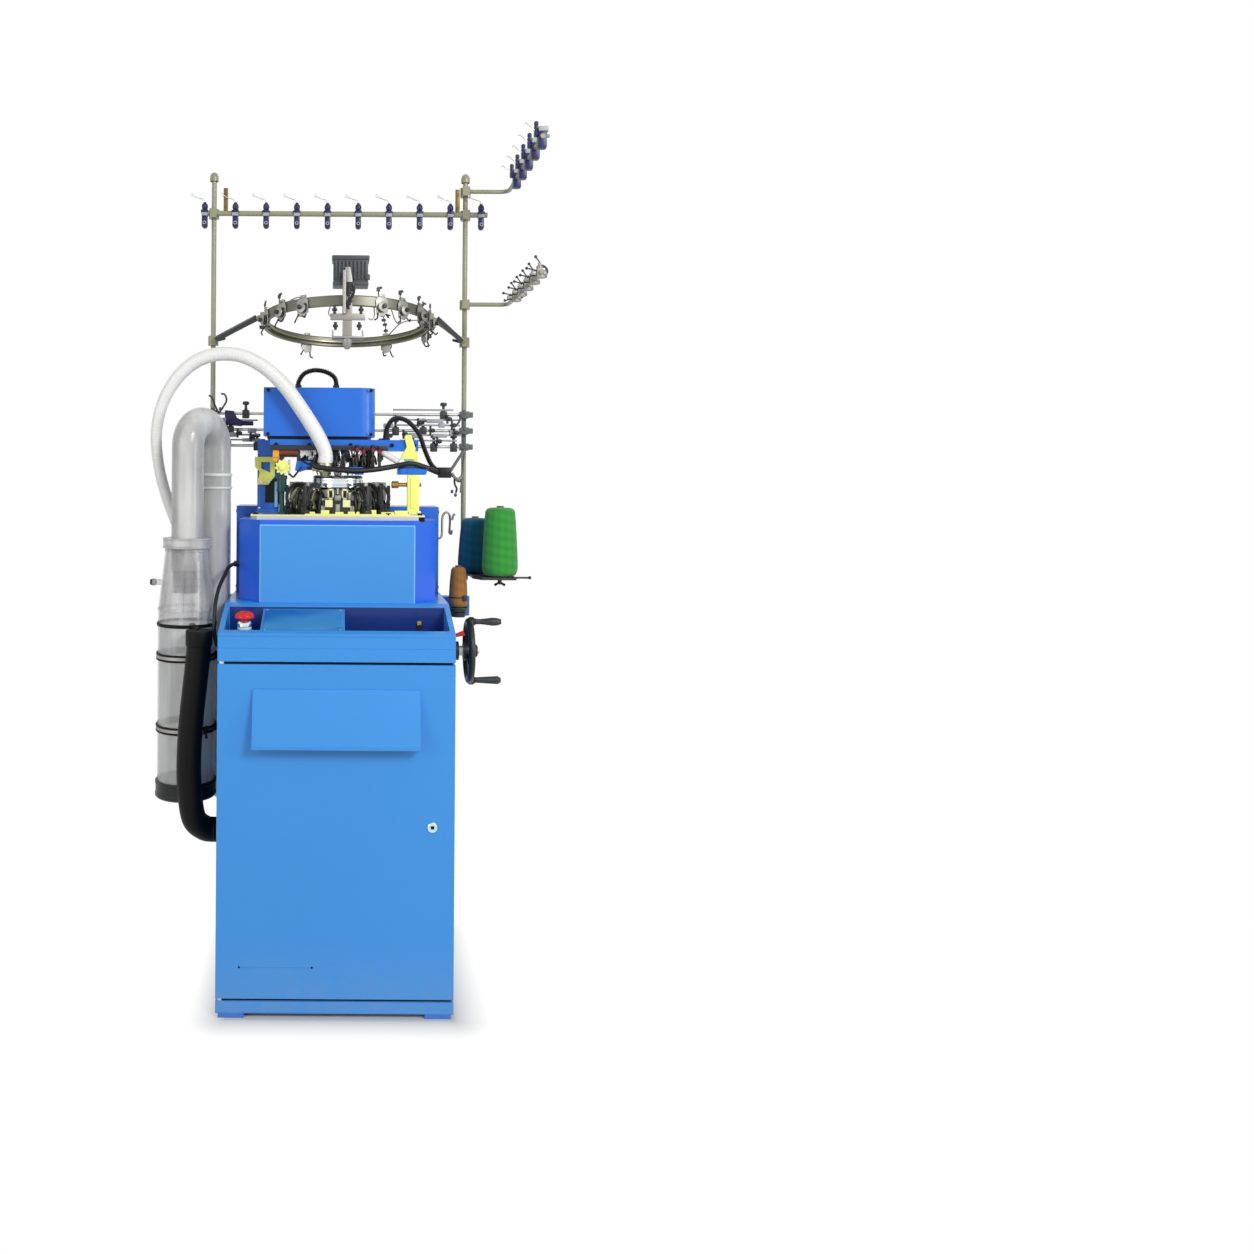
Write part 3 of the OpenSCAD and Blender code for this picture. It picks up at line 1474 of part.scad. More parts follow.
// Finned drive motor on two feet, with a terminal box
module drive_motor() {
    x0 = pulley_x - 18 - motor_len;
    bell = 18;
    place() translate([x0, motor_y, motor_z]) color("dimgray") difference() {
        union() {
            rod_x(motor_d - 8, motor_len);
            translate([bell, 0, 0]) rotate([90, 0, 90]) linear_extrude(motor_len - 2 * bell)
                polygon(toothed(32, motor_d / 2, motor_d / 2 - 4, 0.5));
            for (x = [24, motor_len - 44])
                translate([x, -42, shelf_z + sheet - motor_z]) cube([20, 84, 40]);
            translate([40, -30, motor_d / 2 - 8]) cube([60, 60, 34]);
        }
        translate([motor_len - 10, 0, 0]) rod_x(motor_shaft + 2 * fit, 12);
    }
}

// Outline of the belt's loop round both pulleys, at a distance from their faces
function belt_loop(out) =
    let (
        big = [cyl_y, shaft_z],
        small = [motor_y, motor_z],
        line = big - small,
        turn = atan2(line.y, line.x),
        lean = asin((pulley_d - motor_pulley_d) / 2 / norm(line)),
        reach = 90 + lean
    )
    concat(
        arc(big, pulley_d / 2 + out, turn - reach, turn + reach, 24),
        arc(small, motor_pulley_d / 2 + out, turn + reach, turn + 360 - reach, 16)
    );

// Drive belt round both pulleys
module drive_belt() {
    w = pulley_w - 6;
    place() translate([pulley_x + 3, 0, 0]) rotate([90, 0, 90]) color("black")
        linear_extrude(w) difference() {
            polygon(belt_loop(belt_gap + belt_t));
            polygon(belt_loop(belt_gap));
        }
}

// Electrical control box with its lid, standing on the shelf
module control_box() {
    w = 180;
    h = 220;
    edge = 6;
    place() translate([22 - half, rail_d + 39, shelf_z + sheet]) color("lightgray") {
        translate([0, edge, 0]) cube([w, 90, h]);
        translate([edge, 0, edge]) cube([w - 2 * edge, edge + cut, h - 2 * edge]);
        translate([w - 20, -5, h / 2 - 14]) cube([6, 6, 28]);
    }
}

// Suction blower bolted to the cabinet's left wall: volute, outlet, motor and inlet spigot
module blower() {
    x = -half + sheet;
    place() translate([0, blower_y, blower_z]) color("darkslategray") {
        translate([x, 0, 0]) rod_x(2 * blower_r, 104);
        translate([x + 8, 0, -170]) cube([84, blower_r - 6, 176]);
        translate([x + 100, 0, 0]) rotate([90, 0, 90]) linear_extrude(96)
            polygon(toothed(24, 58, 53, 0.5));
        translate([-half - spigot_reach, 0, 0]) rod_x(black_d - 4, spigot_reach + sheet + cut);
    }
}

// Pipe from under the needle cylinder to the duct
module sock_pipe() {
    r = duct_r;
    start = leg_x + elbow_r + duct_in;
    wall = 3;
    place() translate([0, cyl_y, 0]) color("dimgray") difference() {
        pipe_shape(start, r, 0);
        pipe_shape(start, r - wall, cut);
    }
}

// Run, elbow and riser of the sock pipe, as wall or as bore
module pipe_shape(start, r, past) {
    translate([start - past, 0, low_z]) rod_x(2 * r, -pipe_r - start + past);
    translate([-pipe_r, 0, low_z + pipe_r]) rotate([90, 0, 0])
        rotate_extrude(start = -90, angle = 90) translate([pipe_r, 0]) circle(r = r);
    translate([0, 0, low_z + pipe_r]) cylinder(r = r, h = case_z0 - low_z - pipe_r + past);
}

skids();
cabinet_shell();
hinge_pins();
door();
door_cowl();
door_lock();
console();
console_plate();
estop_collar();
estop_button();
rear_housing();
front_cover();
bed_plate();
gear_case();
head_column();
column_bracket();
right_post();
head_plate();
head_cover();
needle_cylinder();
dial();
sinker_ring();
cam_ring();
yarn_fingers();
selector_units();
head_actuators();
cables();
suction_hose();
air_duct();
duct_collar();
funnel();
canister();
canister_rings();
black_hose();
cone_tray();
green_cone();
teal_cone();
orange_cone();
handwheel();
upper_handle();
lower_handle();
wheel_bearing();
post_brackets();
creel_posts();
creel_bars();
yarn_guides();
side_guides();
guide_ring();
ring_tensioners();
sensor_box();
cross_rods();
rod_units();
shelf();
drive_shaft();
drive_motor();
motor_pulley();
drive_belt();
control_box();
blower();
sock_pipe();
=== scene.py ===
import math

import bmesh
import bpy
from mathutils import Matrix, Vector


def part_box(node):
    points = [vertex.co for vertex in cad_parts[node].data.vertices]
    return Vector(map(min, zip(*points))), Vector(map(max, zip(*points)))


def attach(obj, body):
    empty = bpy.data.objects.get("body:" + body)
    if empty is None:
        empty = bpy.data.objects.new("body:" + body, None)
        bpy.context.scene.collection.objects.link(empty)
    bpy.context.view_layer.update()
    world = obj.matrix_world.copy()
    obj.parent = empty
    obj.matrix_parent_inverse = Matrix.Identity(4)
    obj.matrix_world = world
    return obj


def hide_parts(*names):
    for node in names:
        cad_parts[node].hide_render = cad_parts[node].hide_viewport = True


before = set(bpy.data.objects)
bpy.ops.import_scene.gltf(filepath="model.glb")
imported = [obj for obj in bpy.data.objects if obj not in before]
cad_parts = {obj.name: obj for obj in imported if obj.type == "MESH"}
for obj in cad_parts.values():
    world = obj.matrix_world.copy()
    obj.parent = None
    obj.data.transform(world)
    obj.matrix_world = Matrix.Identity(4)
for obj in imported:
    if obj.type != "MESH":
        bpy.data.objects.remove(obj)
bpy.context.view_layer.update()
scene = bpy.context.scene
scene.view_settings.view_transform = "Standard"

# Where things are. The machine is measured as a fitter would: millimetres to the right of the cabinet's
# middle, behind the door's face and above the floor. at() turns that into the frame's metres.
shell_low, shell_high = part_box("cabinet_shell")
middle = (shell_low.x + shell_high.x) / 2
door_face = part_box("door")[0].y


def at(x, y, z):
    return Vector((middle + x / 1000, door_face + y / 1000, z / 1000))


# Camera, as high as the needle cylinder and 2.45 m in front of the door, level but for the slight lean
# of the photograph. The shift puts the machine where the photograph has it.
eye = bpy.data.cameras.new("eye")
eye.lens = 32.0
eye.sensor_width = 36
eye.shift_x = 0.2305
eye.shift_y = -0.125
camera = bpy.data.objects.new("camera", eye)
camera.location = at(0, -2450, 1205)
camera.rotation_euler = (math.radians(90), math.radians(-0.4), 0)
scene.collection.objects.link(camera)
scene.camera = camera


# Shader and geometry sums. A Value is one output of a node, and sums on it add Math nodes; a Tree adds the
# nodes themselves, with their settings first and then the values or links of their sockets.
class Value:
    def __init__(self, tree, socket):
        self.tree, self.socket = tree, socket

    def __add__(self, other):
        return self.tree.sum("ADD", self, other)

    def __sub__(self, other):
        return self.tree.sum("SUBTRACT", self, other)

    def __rsub__(self, other):
        return self.tree.sum("SUBTRACT", other, self)

    def __mul__(self, other):
        return self.tree.sum("MULTIPLY", self, other)

    def __truediv__(self, other):
        return self.tree.sum("DIVIDE", self, other)

    def __pow__(self, other):
        return self.tree.sum("POWER", self, other)

    def __lt__(self, other):
        return self.tree.sum("LESS_THAN", self, other)

    def __gt__(self, other):
        return self.tree.sum("GREATER_THAN", self, other)

    __radd__, __rmul__ = __add__, __mul__


class Tree:
    def __init__(self, tree):
        self.tree = tree

    def node(self, kind, sockets=None, out=0, **settings):
        made = self.tree.nodes.new(kind)
        for key, value in settings.items():
            setattr(made, key, value)
        for key, value in (sockets or {}).items():
            if isinstance(value, Value):
                self.tree.links.new(value.socket, made.inputs[key])
            else:
                made.inputs[key].default_value = value
        return Value(self, made.outputs[out])

    def sine(self, value):
        return self.node("ShaderNodeMath", {0: value}, operation="SINE")

    def sum(self, operation, first, second):
        return self.node("ShaderNodeMath", {0: first, 1: second}, operation=operation)


# A Finish is a material with its Principled shader, and makes the patterns that the surfaces share.
class Finish(Tree):
    def __init__(self, name, **fixed):
        self.material = bpy.data.materials.new(name)
        self.material.use_nodes = True
        super().__init__(self.material.node_tree)
        self.shader = self.tree.nodes["Principled BSDF"]
        for key, value in fixed.items():
            self.shader.inputs[key.replace("_", " ")].default_value = value
        self.place = self.node("ShaderNodeTexCoord", out="Object")

    def noise(self, scale, detail=3.0, stretch=None):
        where = self.place
        if stretch:
            where = self.node("ShaderNodeMapping", {"Vector": where, "Scale": stretch})
        return self.node("ShaderNodeTexNoise", {"Vector": where, "Scale": scale, "Detail": detail})

    def coordinate(self, axis):
        return self.node("ShaderNodeSeparateXYZ", {0: self.place}, out=axis)

    def mix(self, share, first, second):
        return self.node("ShaderNodeMix", {0: share, 6: first, 7: second}, out=2, data_type="RGBA")

    def band(self, value, low, high):
        return self.node("ShaderNodeMapRange", {0: value, 1: low, 2: high})

    def bump(self, relief, depth, strength=1.0, normal=None):
        sockets = {"Height": relief, "Distance": depth, "Strength": strength}
        if normal:
            sockets["Normal"] = normal
        return self.node("ShaderNodeBump", sockets)

    def feed(self, **sockets):
        for key, value in sockets.items():
            self.tree.links.new(value.socket, self.shader.inputs[key.replace("_", " ")])
        return self.material


def srgb(*shares):
    # red, green and blue from 0 to 255, as a paint chart gives them
    parts = [share / 255 for share in shares]
    return (*(c / 12.92 if c <= 0.04045 else ((c + 0.055) / 1.055) ** 2.4 for c in parts), 1.0)


def shade(colour, factor):
    return (*(min(1.0, c * factor) for c in colour[:3]), 1.0)


# Floor, backdrop and lights. A white floor that runs up into a white wall, which the camera sees as plain
# white but for a narrow band round the machine's foot, where the white glow fades into grey floor that holds
# the real shadow and a painted shade, a broad lamp to the right of the camera and above it, a weaker one on
# the left, a small one at the machine's right side, and an even white surround.
def seen_directly(tree):
    rays = [tree.node("ShaderNodeLightPath", out=name)
            for name in ("Is Camera Ray", "Is Glossy Ray", "Is Transmission Ray")]
    return tree.sum("MINIMUM", rays[0] + rays[1] + rays[2], 1.0)


def floor_finish():
    finish = Finish("studio_floor", Roughness=0.9, Specular_IOR_Level=0.1)
    paper = finish.mix(finish.noise(40, 4), (0.56, 0.56, 0.56, 1), (0.58, 0.58, 0.58, 1))
    finish.feed(Base_Color=paper)
    # painted shade round the foot: within shadow_reach of it the glow fades out and the grey paper shows,
    # darker than the white floor beyond, besides the real shadow
    foot_half, shadow_reach = (0.25, 0.24), 0.08
    beyond = [finish.sum("MAXIMUM", finish.sum("ABSOLUTE", finish.coordinate(k), 0.0) - foot_half[k], 0.0)
              for k in (0, 1)]
    away = (beyond[0] * beyond[0] + beyond[1] * beyond[1]) ** 0.5
    glow = finish.node("ShaderNodeEmission", {"Color": (1, 1, 1, 1), "Strength": 1.0})
    share = seen_directly(finish) * finish.band(away, 0.0, shadow_reach) ** 0.6
    lit = Value(finish, finish.shader.outputs[0])
    mixed = finish.node("ShaderNodeMixShader", {0: share, 1: lit, 2: glow})
    finish.tree.links.new(mixed.socket, finish.tree.nodes["Material Output"].inputs["Surface"])
    return finish.material


def studio():
    shape = bmesh.new()
    half, back, cove, top = 7.0, 3.2, 1.2, 6.0
    rim = [(-half, -half, 0), (half, -half, 0), (half, back, 0), (-half, back, 0)]
    floor = shape.faces.new([shape.verts.new(p) for p in rim])
    edge = [e for e in floor.edges if all(v.co.y > back - cove for v in e.verts)]
    for step in range(1, 9):
        turn = math.pi / 2 * step / 8
        y, z = back + cove * math.sin(turn), cove - cove * math.cos(turn)
        moved = bmesh.ops.extrude_edge_only(shape, edges=edge)["geom"]
        for v in (g for g in moved if isinstance(g, bmesh.types.BMVert)):
            v.co.y, v.co.z = y, z
        edge = [g for g in moved if isinstance(g, bmesh.types.BMEdge)
                and all(abs(v.co.z - z) < 1e-6 for v in g.verts)]
    moved = bmesh.ops.extrude_edge_only(shape, edges=edge)["geom"]
    for v in (g for g in moved if isinstance(g, bmesh.types.BMVert)):
        v.co.z = top
    bmesh.ops.recalc_face_normals(shape, faces=shape.faces)
    mesh = bpy.data.meshes.new("studio_floor")
    shape.to_mesh(mesh)
    mesh.materials.append(floor_finish())
    for polygon in mesh.polygons:
        polygon.use_smooth = True
    obj = bpy.data.objects.new("studio_floor", mesh)
    scene.collection.objects.link(obj)


studio()


def lamp(name, place, aim, size, watts):
    light = bpy.data.lights.new(name, "AREA")
    light.shape = "DISK"
    light.size = size
    light.energy = watts
    obj = bpy.data.objects.new(name, light)
    obj.location = place
    obj.rotation_euler = (Vector(aim) - Vector(place)).to_track_quat("-Z", "Y").to_euler()
    scene.collection.objects.link(obj)


lamp("key_lamp", (1.9, -2.9, 2.9), (0, 0, 1.0), 1.3, 86)
lamp("fill_lamp", (-2.6, -2.4, 1.6), (0, 0, 1.0), 2.2, 36)
lamp("side_lamp", (2.5, -1.5, 1.35), (0, 0, 1.2), 0.9, 14)

world = bpy.data.worlds.new("surround")
world.use_nodes = True
scene.world = world
surround = Tree(world.node_tree)
background = world.node_tree.nodes["Background"]
background.inputs["Color"].default_value = (1, 1, 1, 1)
world.node_tree.links.new((0.34 + seen_directly(surround) * 0.66).socket, background.inputs["Strength"])


# Cabinet, console, door and covers: folded steel sheet, sprayed with a blue gloss paint that has a fine
# orange peel, soft folded edges and a little dust near the floor.
peel_depth, fold_radius = 0.00006, 0.0012


def paint(name, colour, gloss=0.32, dust=True, accents=()):
    # accents: further colours, each with a function of the finish that gives the share of it
    finish = Finish(name, Coat_Weight=0.25, Coat_Roughness=0.12, Specular_IOR_Level=0.4)
    cloud = finish.noise(2.2, 4)
    grain = finish.noise(70, 5)
    tone = finish.mix(cloud, shade(colour, 0.93), shade(colour, 1.06))
    tone = finish.mix(grain * 0.10, tone, shade(colour, 0.86))
    if dust:
        low = finish.band(finish.coordinate(2), 0.16, 0.0) * finish.noise(22, 5)
        tone = finish.mix(low * 0.35, tone, srgb(150, 160, 170))
    for second, share in accents:
        tone = finish.mix(share(finish), tone, second)
    edge = finish.node("ShaderNodeBevel", {"Radius": fold_radius}, samples=4)
    relief = finish.noise(520, 2) + grain * 0.25
    return finish.feed(Base_Color=tone, Roughness=gloss + cloud * 0.08 + grain * 0.05,
                       Normal=finish.bump(relief, peel_depth, 0.6, edge))


def dress(finish, *names):
    for name in names:
        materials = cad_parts[name].data.materials
        materials.clear()
        materials.append(finish)


panel_half, panel_top = 0.182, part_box("front_cover")[1].z - 0.012
fold_inside, fold_outside, fold_half = 0.1804, 0.1832, 0.0014
pan_half, pan_front, pan_back, pan_rim = 0.2495, 0.0165, 0.1495, 0.8425
console_rise = 48 / 165


def off_middle(finish):
    return finish.sum("ABSOLUTE", finish.coordinate(0) - middle, 0.0)


def painted_cover_shade(finish):
    # a deeper blue on the folded sides of the cover, a painted shade, and the same blue on the band over its
    # front panel
    return finish.sum("MAXIMUM", off_middle(finish) > panel_half, finish.coordinate(2) > panel_top)


def painted_fold_highlight(finish):
    # a painted highlight: a thin lighter line along the folds round the front panel
    away, z = off_middle(finish), finish.coordinate(2)
    upright = (away > fold_inside) * (away < fold_outside) * (z < panel_top + fold_half)
    level = (away < fold_inside) * (z > panel_top - fold_half) * (z < panel_top + fold_half)
    return upright + level


def painted_pan_shade(finish):
    # painted shade: the sunk pan of the console is painted navy under the sloping top
    behind, z = finish.coordinate(1) - door_face, finish.coordinate(2)
    return ((off_middle(finish) < pan_half) * (behind > pan_front) * (behind < pan_back)
            * (z < behind * console_rise + pan_rim))


cabinet_blue = paint("cabinet_blue_paint", srgb(58, 146, 224))
# the cover's accents: a painted shade of deeper blue on its sides and on the band over its panel, and a
# painted highlight along the folds round the panel
cover_blue = paint("cover_blue_paint", srgb(64, 148, 222),
                   accents=((srgb(26, 100, 226), painted_cover_shade), (srgb(118, 188, 236), painted_fold_highlight)))
housing_blue = paint("housing_blue_paint", srgb(34, 112, 220))
deep_blue = paint("deep_blue_paint", srgb(24, 108, 212))
dress(cabinet_blue, "cabinet_shell", "door", "door_cowl", "shelf")
# the navy in the console's sunk pan is painted shade
dress(paint("console_blue_paint", srgb(58, 146, 224), accents=((srgb(8, 44, 118), painted_pan_shade),)), "console")
dress(cover_blue, "front_cover")
dress(housing_blue, "rear_housing")
dress(deep_blue, "skids", "head_column", "head_plate", "head_cover", "post_brackets")
dress(paint("panel_blue_paint", srgb(60, 140, 206), dust=False), "console_plate")
dress(paint("yellow_paint", srgb(240, 244, 120), dust=False), "column_bracket", "right_post")
olive_lacquer = paint("olive_lacquer", srgb(150, 150, 122), 0.28, dust=False)
dress(olive_lacquer, "creel_posts", "creel_bars")


# Metals: turned and ground steel, bright plate, dark castings and drawn aluminium, with fine tool marks,
# handling stains and a duller skin in patches.
def metal(name, colour, rough, marks=(1, 1, 60), stain=0.25):
    finish = Finish(name, Metallic=1.0)
    lines = finish.noise(90, 3, marks)
    patches = finish.noise(14, 5)
    tone = finish.mix(patches * stain, colour, shade(colour, 0.55))
    return finish.feed(Base_Color=tone, Roughness=rough + lines * 0.12 + patches * 0.10,
                       Normal=finish.bump(lines, 0.00004, 0.5))


ground_steel = metal("ground_steel", srgb(206, 206, 202), 0.26)
bright_plate = metal("bright_plate", srgb(226, 232, 236), 0.10, (1, 1, 30), 0.10)
dull_steel = metal("dull_steel", srgb(150, 148, 142), 0.36)
brass = metal("turned_brass", srgb(178, 148, 84), 0.24, (1, 1, 40), 0.45)
aged_brass = metal("aged_brass", srgb(120, 98, 52), 0.34, (1, 1, 40), 0.6)
drawn_aluminium = metal("drawn_aluminium", srgb(170, 172, 176), 0.34, (40, 1, 1))


def casting(name, colour, rough=0.5):
    finish = Finish(name, Specular_IOR_Level=0.45)
    sand = finish.noise(260, 4)
    patches = finish.noise(18, 4)
    tone = finish.mix(patches, shade(colour, 0.75), shade(colour, 1.3))
    return finish.feed(Base_Color=tone, Roughness=rough - 0.1 + patches * 0.2,
                       Normal=finish.bump(sand, 0.00025, 0.6))


black_casting = casting("black_casting", srgb(26, 27, 30), 0.42)
grey_casting = casting("grey_casting", srgb(92, 96, 98))
dress(ground_steel, "bed_plate", "needle_cylinder", "drive_shaft", "motor_pulley", "hinge_pins", "cross_rods")
dress(bright_plate, "sinker_ring", "dial")
dress(black_casting, "handwheel", "wheel_bearing", "cam_ring", "blower")
dress(grey_casting, "gear_case", "drive_motor", "guide_ring")


# Moulded plastics: black, navy, red and pale mouldings with a fine texture from the mould, screwed or pushed
# on the parts that carry them.
def moulding(name, colour, rough=0.4):
    finish = Finish(name, Specular_IOR_Level=0.35)
    texture = finish.noise(700, 2)
    patches = finish.noise(16, 3)
    tone = finish.mix(patches, shade(colour, 0.85), shade(colour, 1.12))
    return finish.feed(Base_Color=tone, Roughness=rough + patches * 0.12 - 0.06,
                       Normal=finish.bump(texture, 0.00006, 0.5))


black_plastic = moulding("black_moulding", srgb(15, 16, 18), 0.38)
dark_grey_plastic = moulding("dark_grey_moulding", srgb(58, 60, 62), 0.45)
navy_plastic = moulding("navy_moulding", srgb(34, 38, 84), 0.35)
red_plastic = moulding("red_moulding", srgb(214, 34, 28), 0.28)
pale_plastic = moulding("pale_moulding", srgb(196, 234, 244), 0.25)
white_plastic = moulding("white_moulding", srgb(232, 232, 230), 0.35)
grey_enamel = moulding("grey_enamel", srgb(168, 172, 174), 0.40)
dress(black_plastic, "yarn_fingers", "selector_units", "cables", "canister_rings", "drive_belt", "black_hose")
dress(dark_grey_plastic, "upper_handle", "lower_handle", "ring_tensioners", "sensor_box", "rod_units",
      "cone_tray", "sock_pipe")
dress(navy_plastic, "yarn_guides", "side_guides")
dress(red_plastic, "estop_button")
dress(pale_plastic, "estop_collar", "door_lock")
dress(white_plastic, "duct_collar", "suction_hose")
dress(grey_enamel, "control_box", "head_actuators")


# Shapes that many sections share: a turned piece from its profile, a folded or sawn block with broken edges,
# and a piece put in its place on its body.
def piece(name, shape, finish, body="machine", stands_for=(), smooth=30):
    bmesh.ops.remove_doubles(shape, verts=shape.verts, dist=1e-7)
    bmesh.ops.recalc_face_normals(shape, faces=shape.faces)
    mesh = bpy.data.meshes.new(name)
    shape.to_mesh(mesh)
    shape.free()
    settle(name, mesh, finish, body, stands_for, smooth)


def settle(name, mesh, finish, body="machine", stands_for=(), smooth=30):
    # gives a plain mesh its finish and its crease angle, hangs it on the body it rides, and hides the solids
    # that it stands for
    if finish:
        mesh.materials.clear()
        mesh.materials.append(finish)
    mesh.set_sharp_from_angle(angle=math.radians(smooth))
    obj = bpy.data.objects.new(name, mesh)
    scene.collection.objects.link(obj)
    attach(obj, body)
    if stands_for:
        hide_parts(*stands_for)
    return obj


def frame_of(axis):
    # the turn that takes the vertical to an axis
    return Vector(axis).normalized().to_track_quat("Z", "Y").to_matrix().to_4x4()


upward, to_right, to_left, to_back, to_front = (0, 0, 1), (1, 0, 0), (-1, 0, 0), (0, 1, 0), (0, -1, 0)


def spun(degrees, size=4):
    return Matrix.Rotation(math.radians(degrees), size, "Z")


def turned(shape, profile, centre, axis=upward, steps=40):
    # profile: (radius, height) in millimetres, from one end to the other
    move = Matrix.Translation(centre) @ frame_of(axis)
    rings = []
    for radius, height in profile:
        rings.append([shape.verts.new(move @ Vector((radius / 1000 * math.cos(2 * math.pi * k / steps),
                                                     radius / 1000 * math.sin(2 * math.pi * k / steps),
                                                     height / 1000))) for k in range(steps)])
    for low, high in zip(rings, rings[1:]):
        for k in range(steps):
            shape.faces.new([low[k], low[(k + 1) % steps], high[(k + 1) % steps], high[k]])


def block(shape, low, high, edge=0.6, turn=None):
    # low and high: corners in the fitter's millimetres; edge: the broken edge
    a, b = at(*low), at(*high)
    made = bmesh.ops.create_cube(shape, size=1.0)["verts"]
    for v in made:
        v.co = Vector([a[i] if v.co[i] < 0 else b[i] for i in range(3)])
    edges = list({e for v in made for e in v.link_edges})
    done = bmesh.ops.bevel(shape, geom=edges, offset=edge / 1000, segments=2, profile=0.6, affect="EDGES")
    if turn:
        solid = set(done["verts"]) | {v for v in made if v.is_valid}
        bmesh.ops.transform(shape, matrix=turn, verts=list(solid))


def bar(shape, start, end, radius, steps=12, end_radius=None):
    a, b = at(*start), at(*end)
    length = (b - a).length * 1000
    last = radius if end_radius is None else end_radius
    turned(shape, [(0, 0), (radius * 0.8, 0), (radius, radius * 0.2), (last, length - last * 0.2),
                   (last * 0.8, length), (0, length)], a, b - a, steps)


def about(centre, degrees):
    # sets a block drawn round the fitter's origin at a centre, turned about the vertical
    return Matrix.Translation(at(*centre)) @ spun(degrees) @ Matrix.Translation(-at(0, 0, 0))


# Hoses, conduits and wires follow a route. The tree turns a polyline into a tube, with ribs at a pitch and a
# girth that each point of the route carries.
def route_tree():
    tree = bpy.data.node_groups.new("tube_on_route", "GeometryNodeTree")
    for name, kind in (("Route", "Geometry"), ("Radius", "Float"), ("Rib depth", "Float"),
                       ("Rib pitch", "Float"), ("Step", "Float"), ("Sides", "Int"), ("Finish", "Material")):
        tree.interface.new_socket(name, in_out="INPUT", socket_type="NodeSocket" + kind)
    tree.interface.new_socket("Tube", in_out="OUTPUT", socket_type="NodeSocketGeometry")
    t = Tree(tree)
    group = tree.nodes.new("NodeGroupInput")
    given = {s.name: Value(t, s) for s in group.outputs if s.name}
    line = t.node("GeometryNodeMeshToCurve", {"Mesh": given["Route"]})
    line = t.node("GeometryNodeResampleCurve", {"Curve": line, "Length": given["Step"]}, mode="LENGTH")
    along = t.node("GeometryNodeSplineParameter", out="Length")
    girth = t.node("GeometryNodeInputNamedAttribute", {"Name": "girth"}, data_type="FLOAT")
    wave = t.sine(along / given["Rib pitch"] * (2 * math.pi))
    radius = given["Radius"] * girth + wave * given["Rib depth"]
    line = t.node("GeometryNodeSetCurveRadius", {"Curve": line, "Radius": radius})
    ring = t.node("GeometryNodeCurvePrimitiveCircle", {"Resolution": given["Sides"], "Radius": 1.0})
    tube = t.node("GeometryNodeCurveToMesh", {"Curve": line, "Profile Curve": ring, "Fill Caps": True})
    scale = tube.socket.node.inputs.get("Scale")
    if scale is not None:
        tree.links.new(radius.socket, scale)
    smooth = t.node("GeometryNodeSetShadeSmooth", {0: tube})
    painted = t.node("GeometryNodeSetMaterial", {"Geometry": smooth, "Material": given["Finish"]})
    tree.links.new(painted.socket, tree.nodes.new("NodeGroupOutput").inputs[0])
    return tree


tube_on_route = route_tree()


def grown(mesh, tree, **inputs):
    # runs a geometry tree on a mesh and returns the result as a plain mesh
    obj = bpy.data.objects.new("growing", mesh)
    scene.collection.objects.link(obj)
    modifier = obj.modifiers.new("grow", "NODES")
    modifier.node_group = tree
    for socket in tree.interface.items_tree:
        key = socket.name.replace(" ", "_").lower()
        if socket.item_type == "SOCKET" and socket.in_out == "INPUT" and key in inputs:
            modifier[socket.identifier] = inputs[key]
    graph = bpy.context.evaluated_depsgraph_get()
    result = bpy.data.meshes.new_from_object(obj.evaluated_get(graph))
    obj.modifiers.remove(modifier)
    bpy.data.objects.remove(obj)
    return result


def rounded(points, steps=8):
    # Catmull-Rom through the points
    path = [points[0]] + list(points) + [points[-1]]
    out = []
    for a, b, c, d in zip(path, path[1:], path[2:], path[3:]):
        a, b, c, d = (Vector(p) for p in (a, b, c, d))
        for k in range(steps):
            t = k / steps
            out.append(0.5 * (2 * b + (c - a) * t + (2 * a - 5 * b + 4 * c - d) * t * t
                              + (3 * b - a - 3 * c + d) * t ** 3))
    return out + [Vector(points[-1])]


def tube(name, routes, radius, finish, stands_for=(), ribs=0.0, pitch=10.0, step=4.0, sides=12,
         girths=None, steps=8):
    # routes: lists of points in the fitter's millimetres; girths: a share of the radius at each point
    mesh = bpy.data.meshes.new(name)
    verts, edges, girth = [], [], []
    for route in routes:
        path = rounded(route, steps)
        first = len(verts)
        verts += [at(*p) for p in path]
        edges += [(first + i, first + i + 1) for i in range(len(path) - 1)]
        shares = girths or [1.0] * len(route)
        for i in range(len(path)):
            where = i / steps
            low = min(int(where), len(shares) - 2)
            girth.append(shares[low] + (shares[low + 1] - shares[low]) * (where - low))
    mesh.from_pydata(verts, edges, [])
    mesh.attributes.new("girth", "FLOAT", "POINT").data.foreach_set("value", girth)
    result = grown(mesh, tube_on_route, radius=radius / 1000, rib_depth=ribs / 1000, rib_pitch=pitch / 1000,
                   step=step / 1000, sides=sides, finish=finish)
    return settle(name, result, None, stands_for=stands_for, smooth=60)


def free(route):
    # works out the smoothed path of a hose's route in the frame and does nothing more with it
    path = [at(*p) for p in rounded(route)]


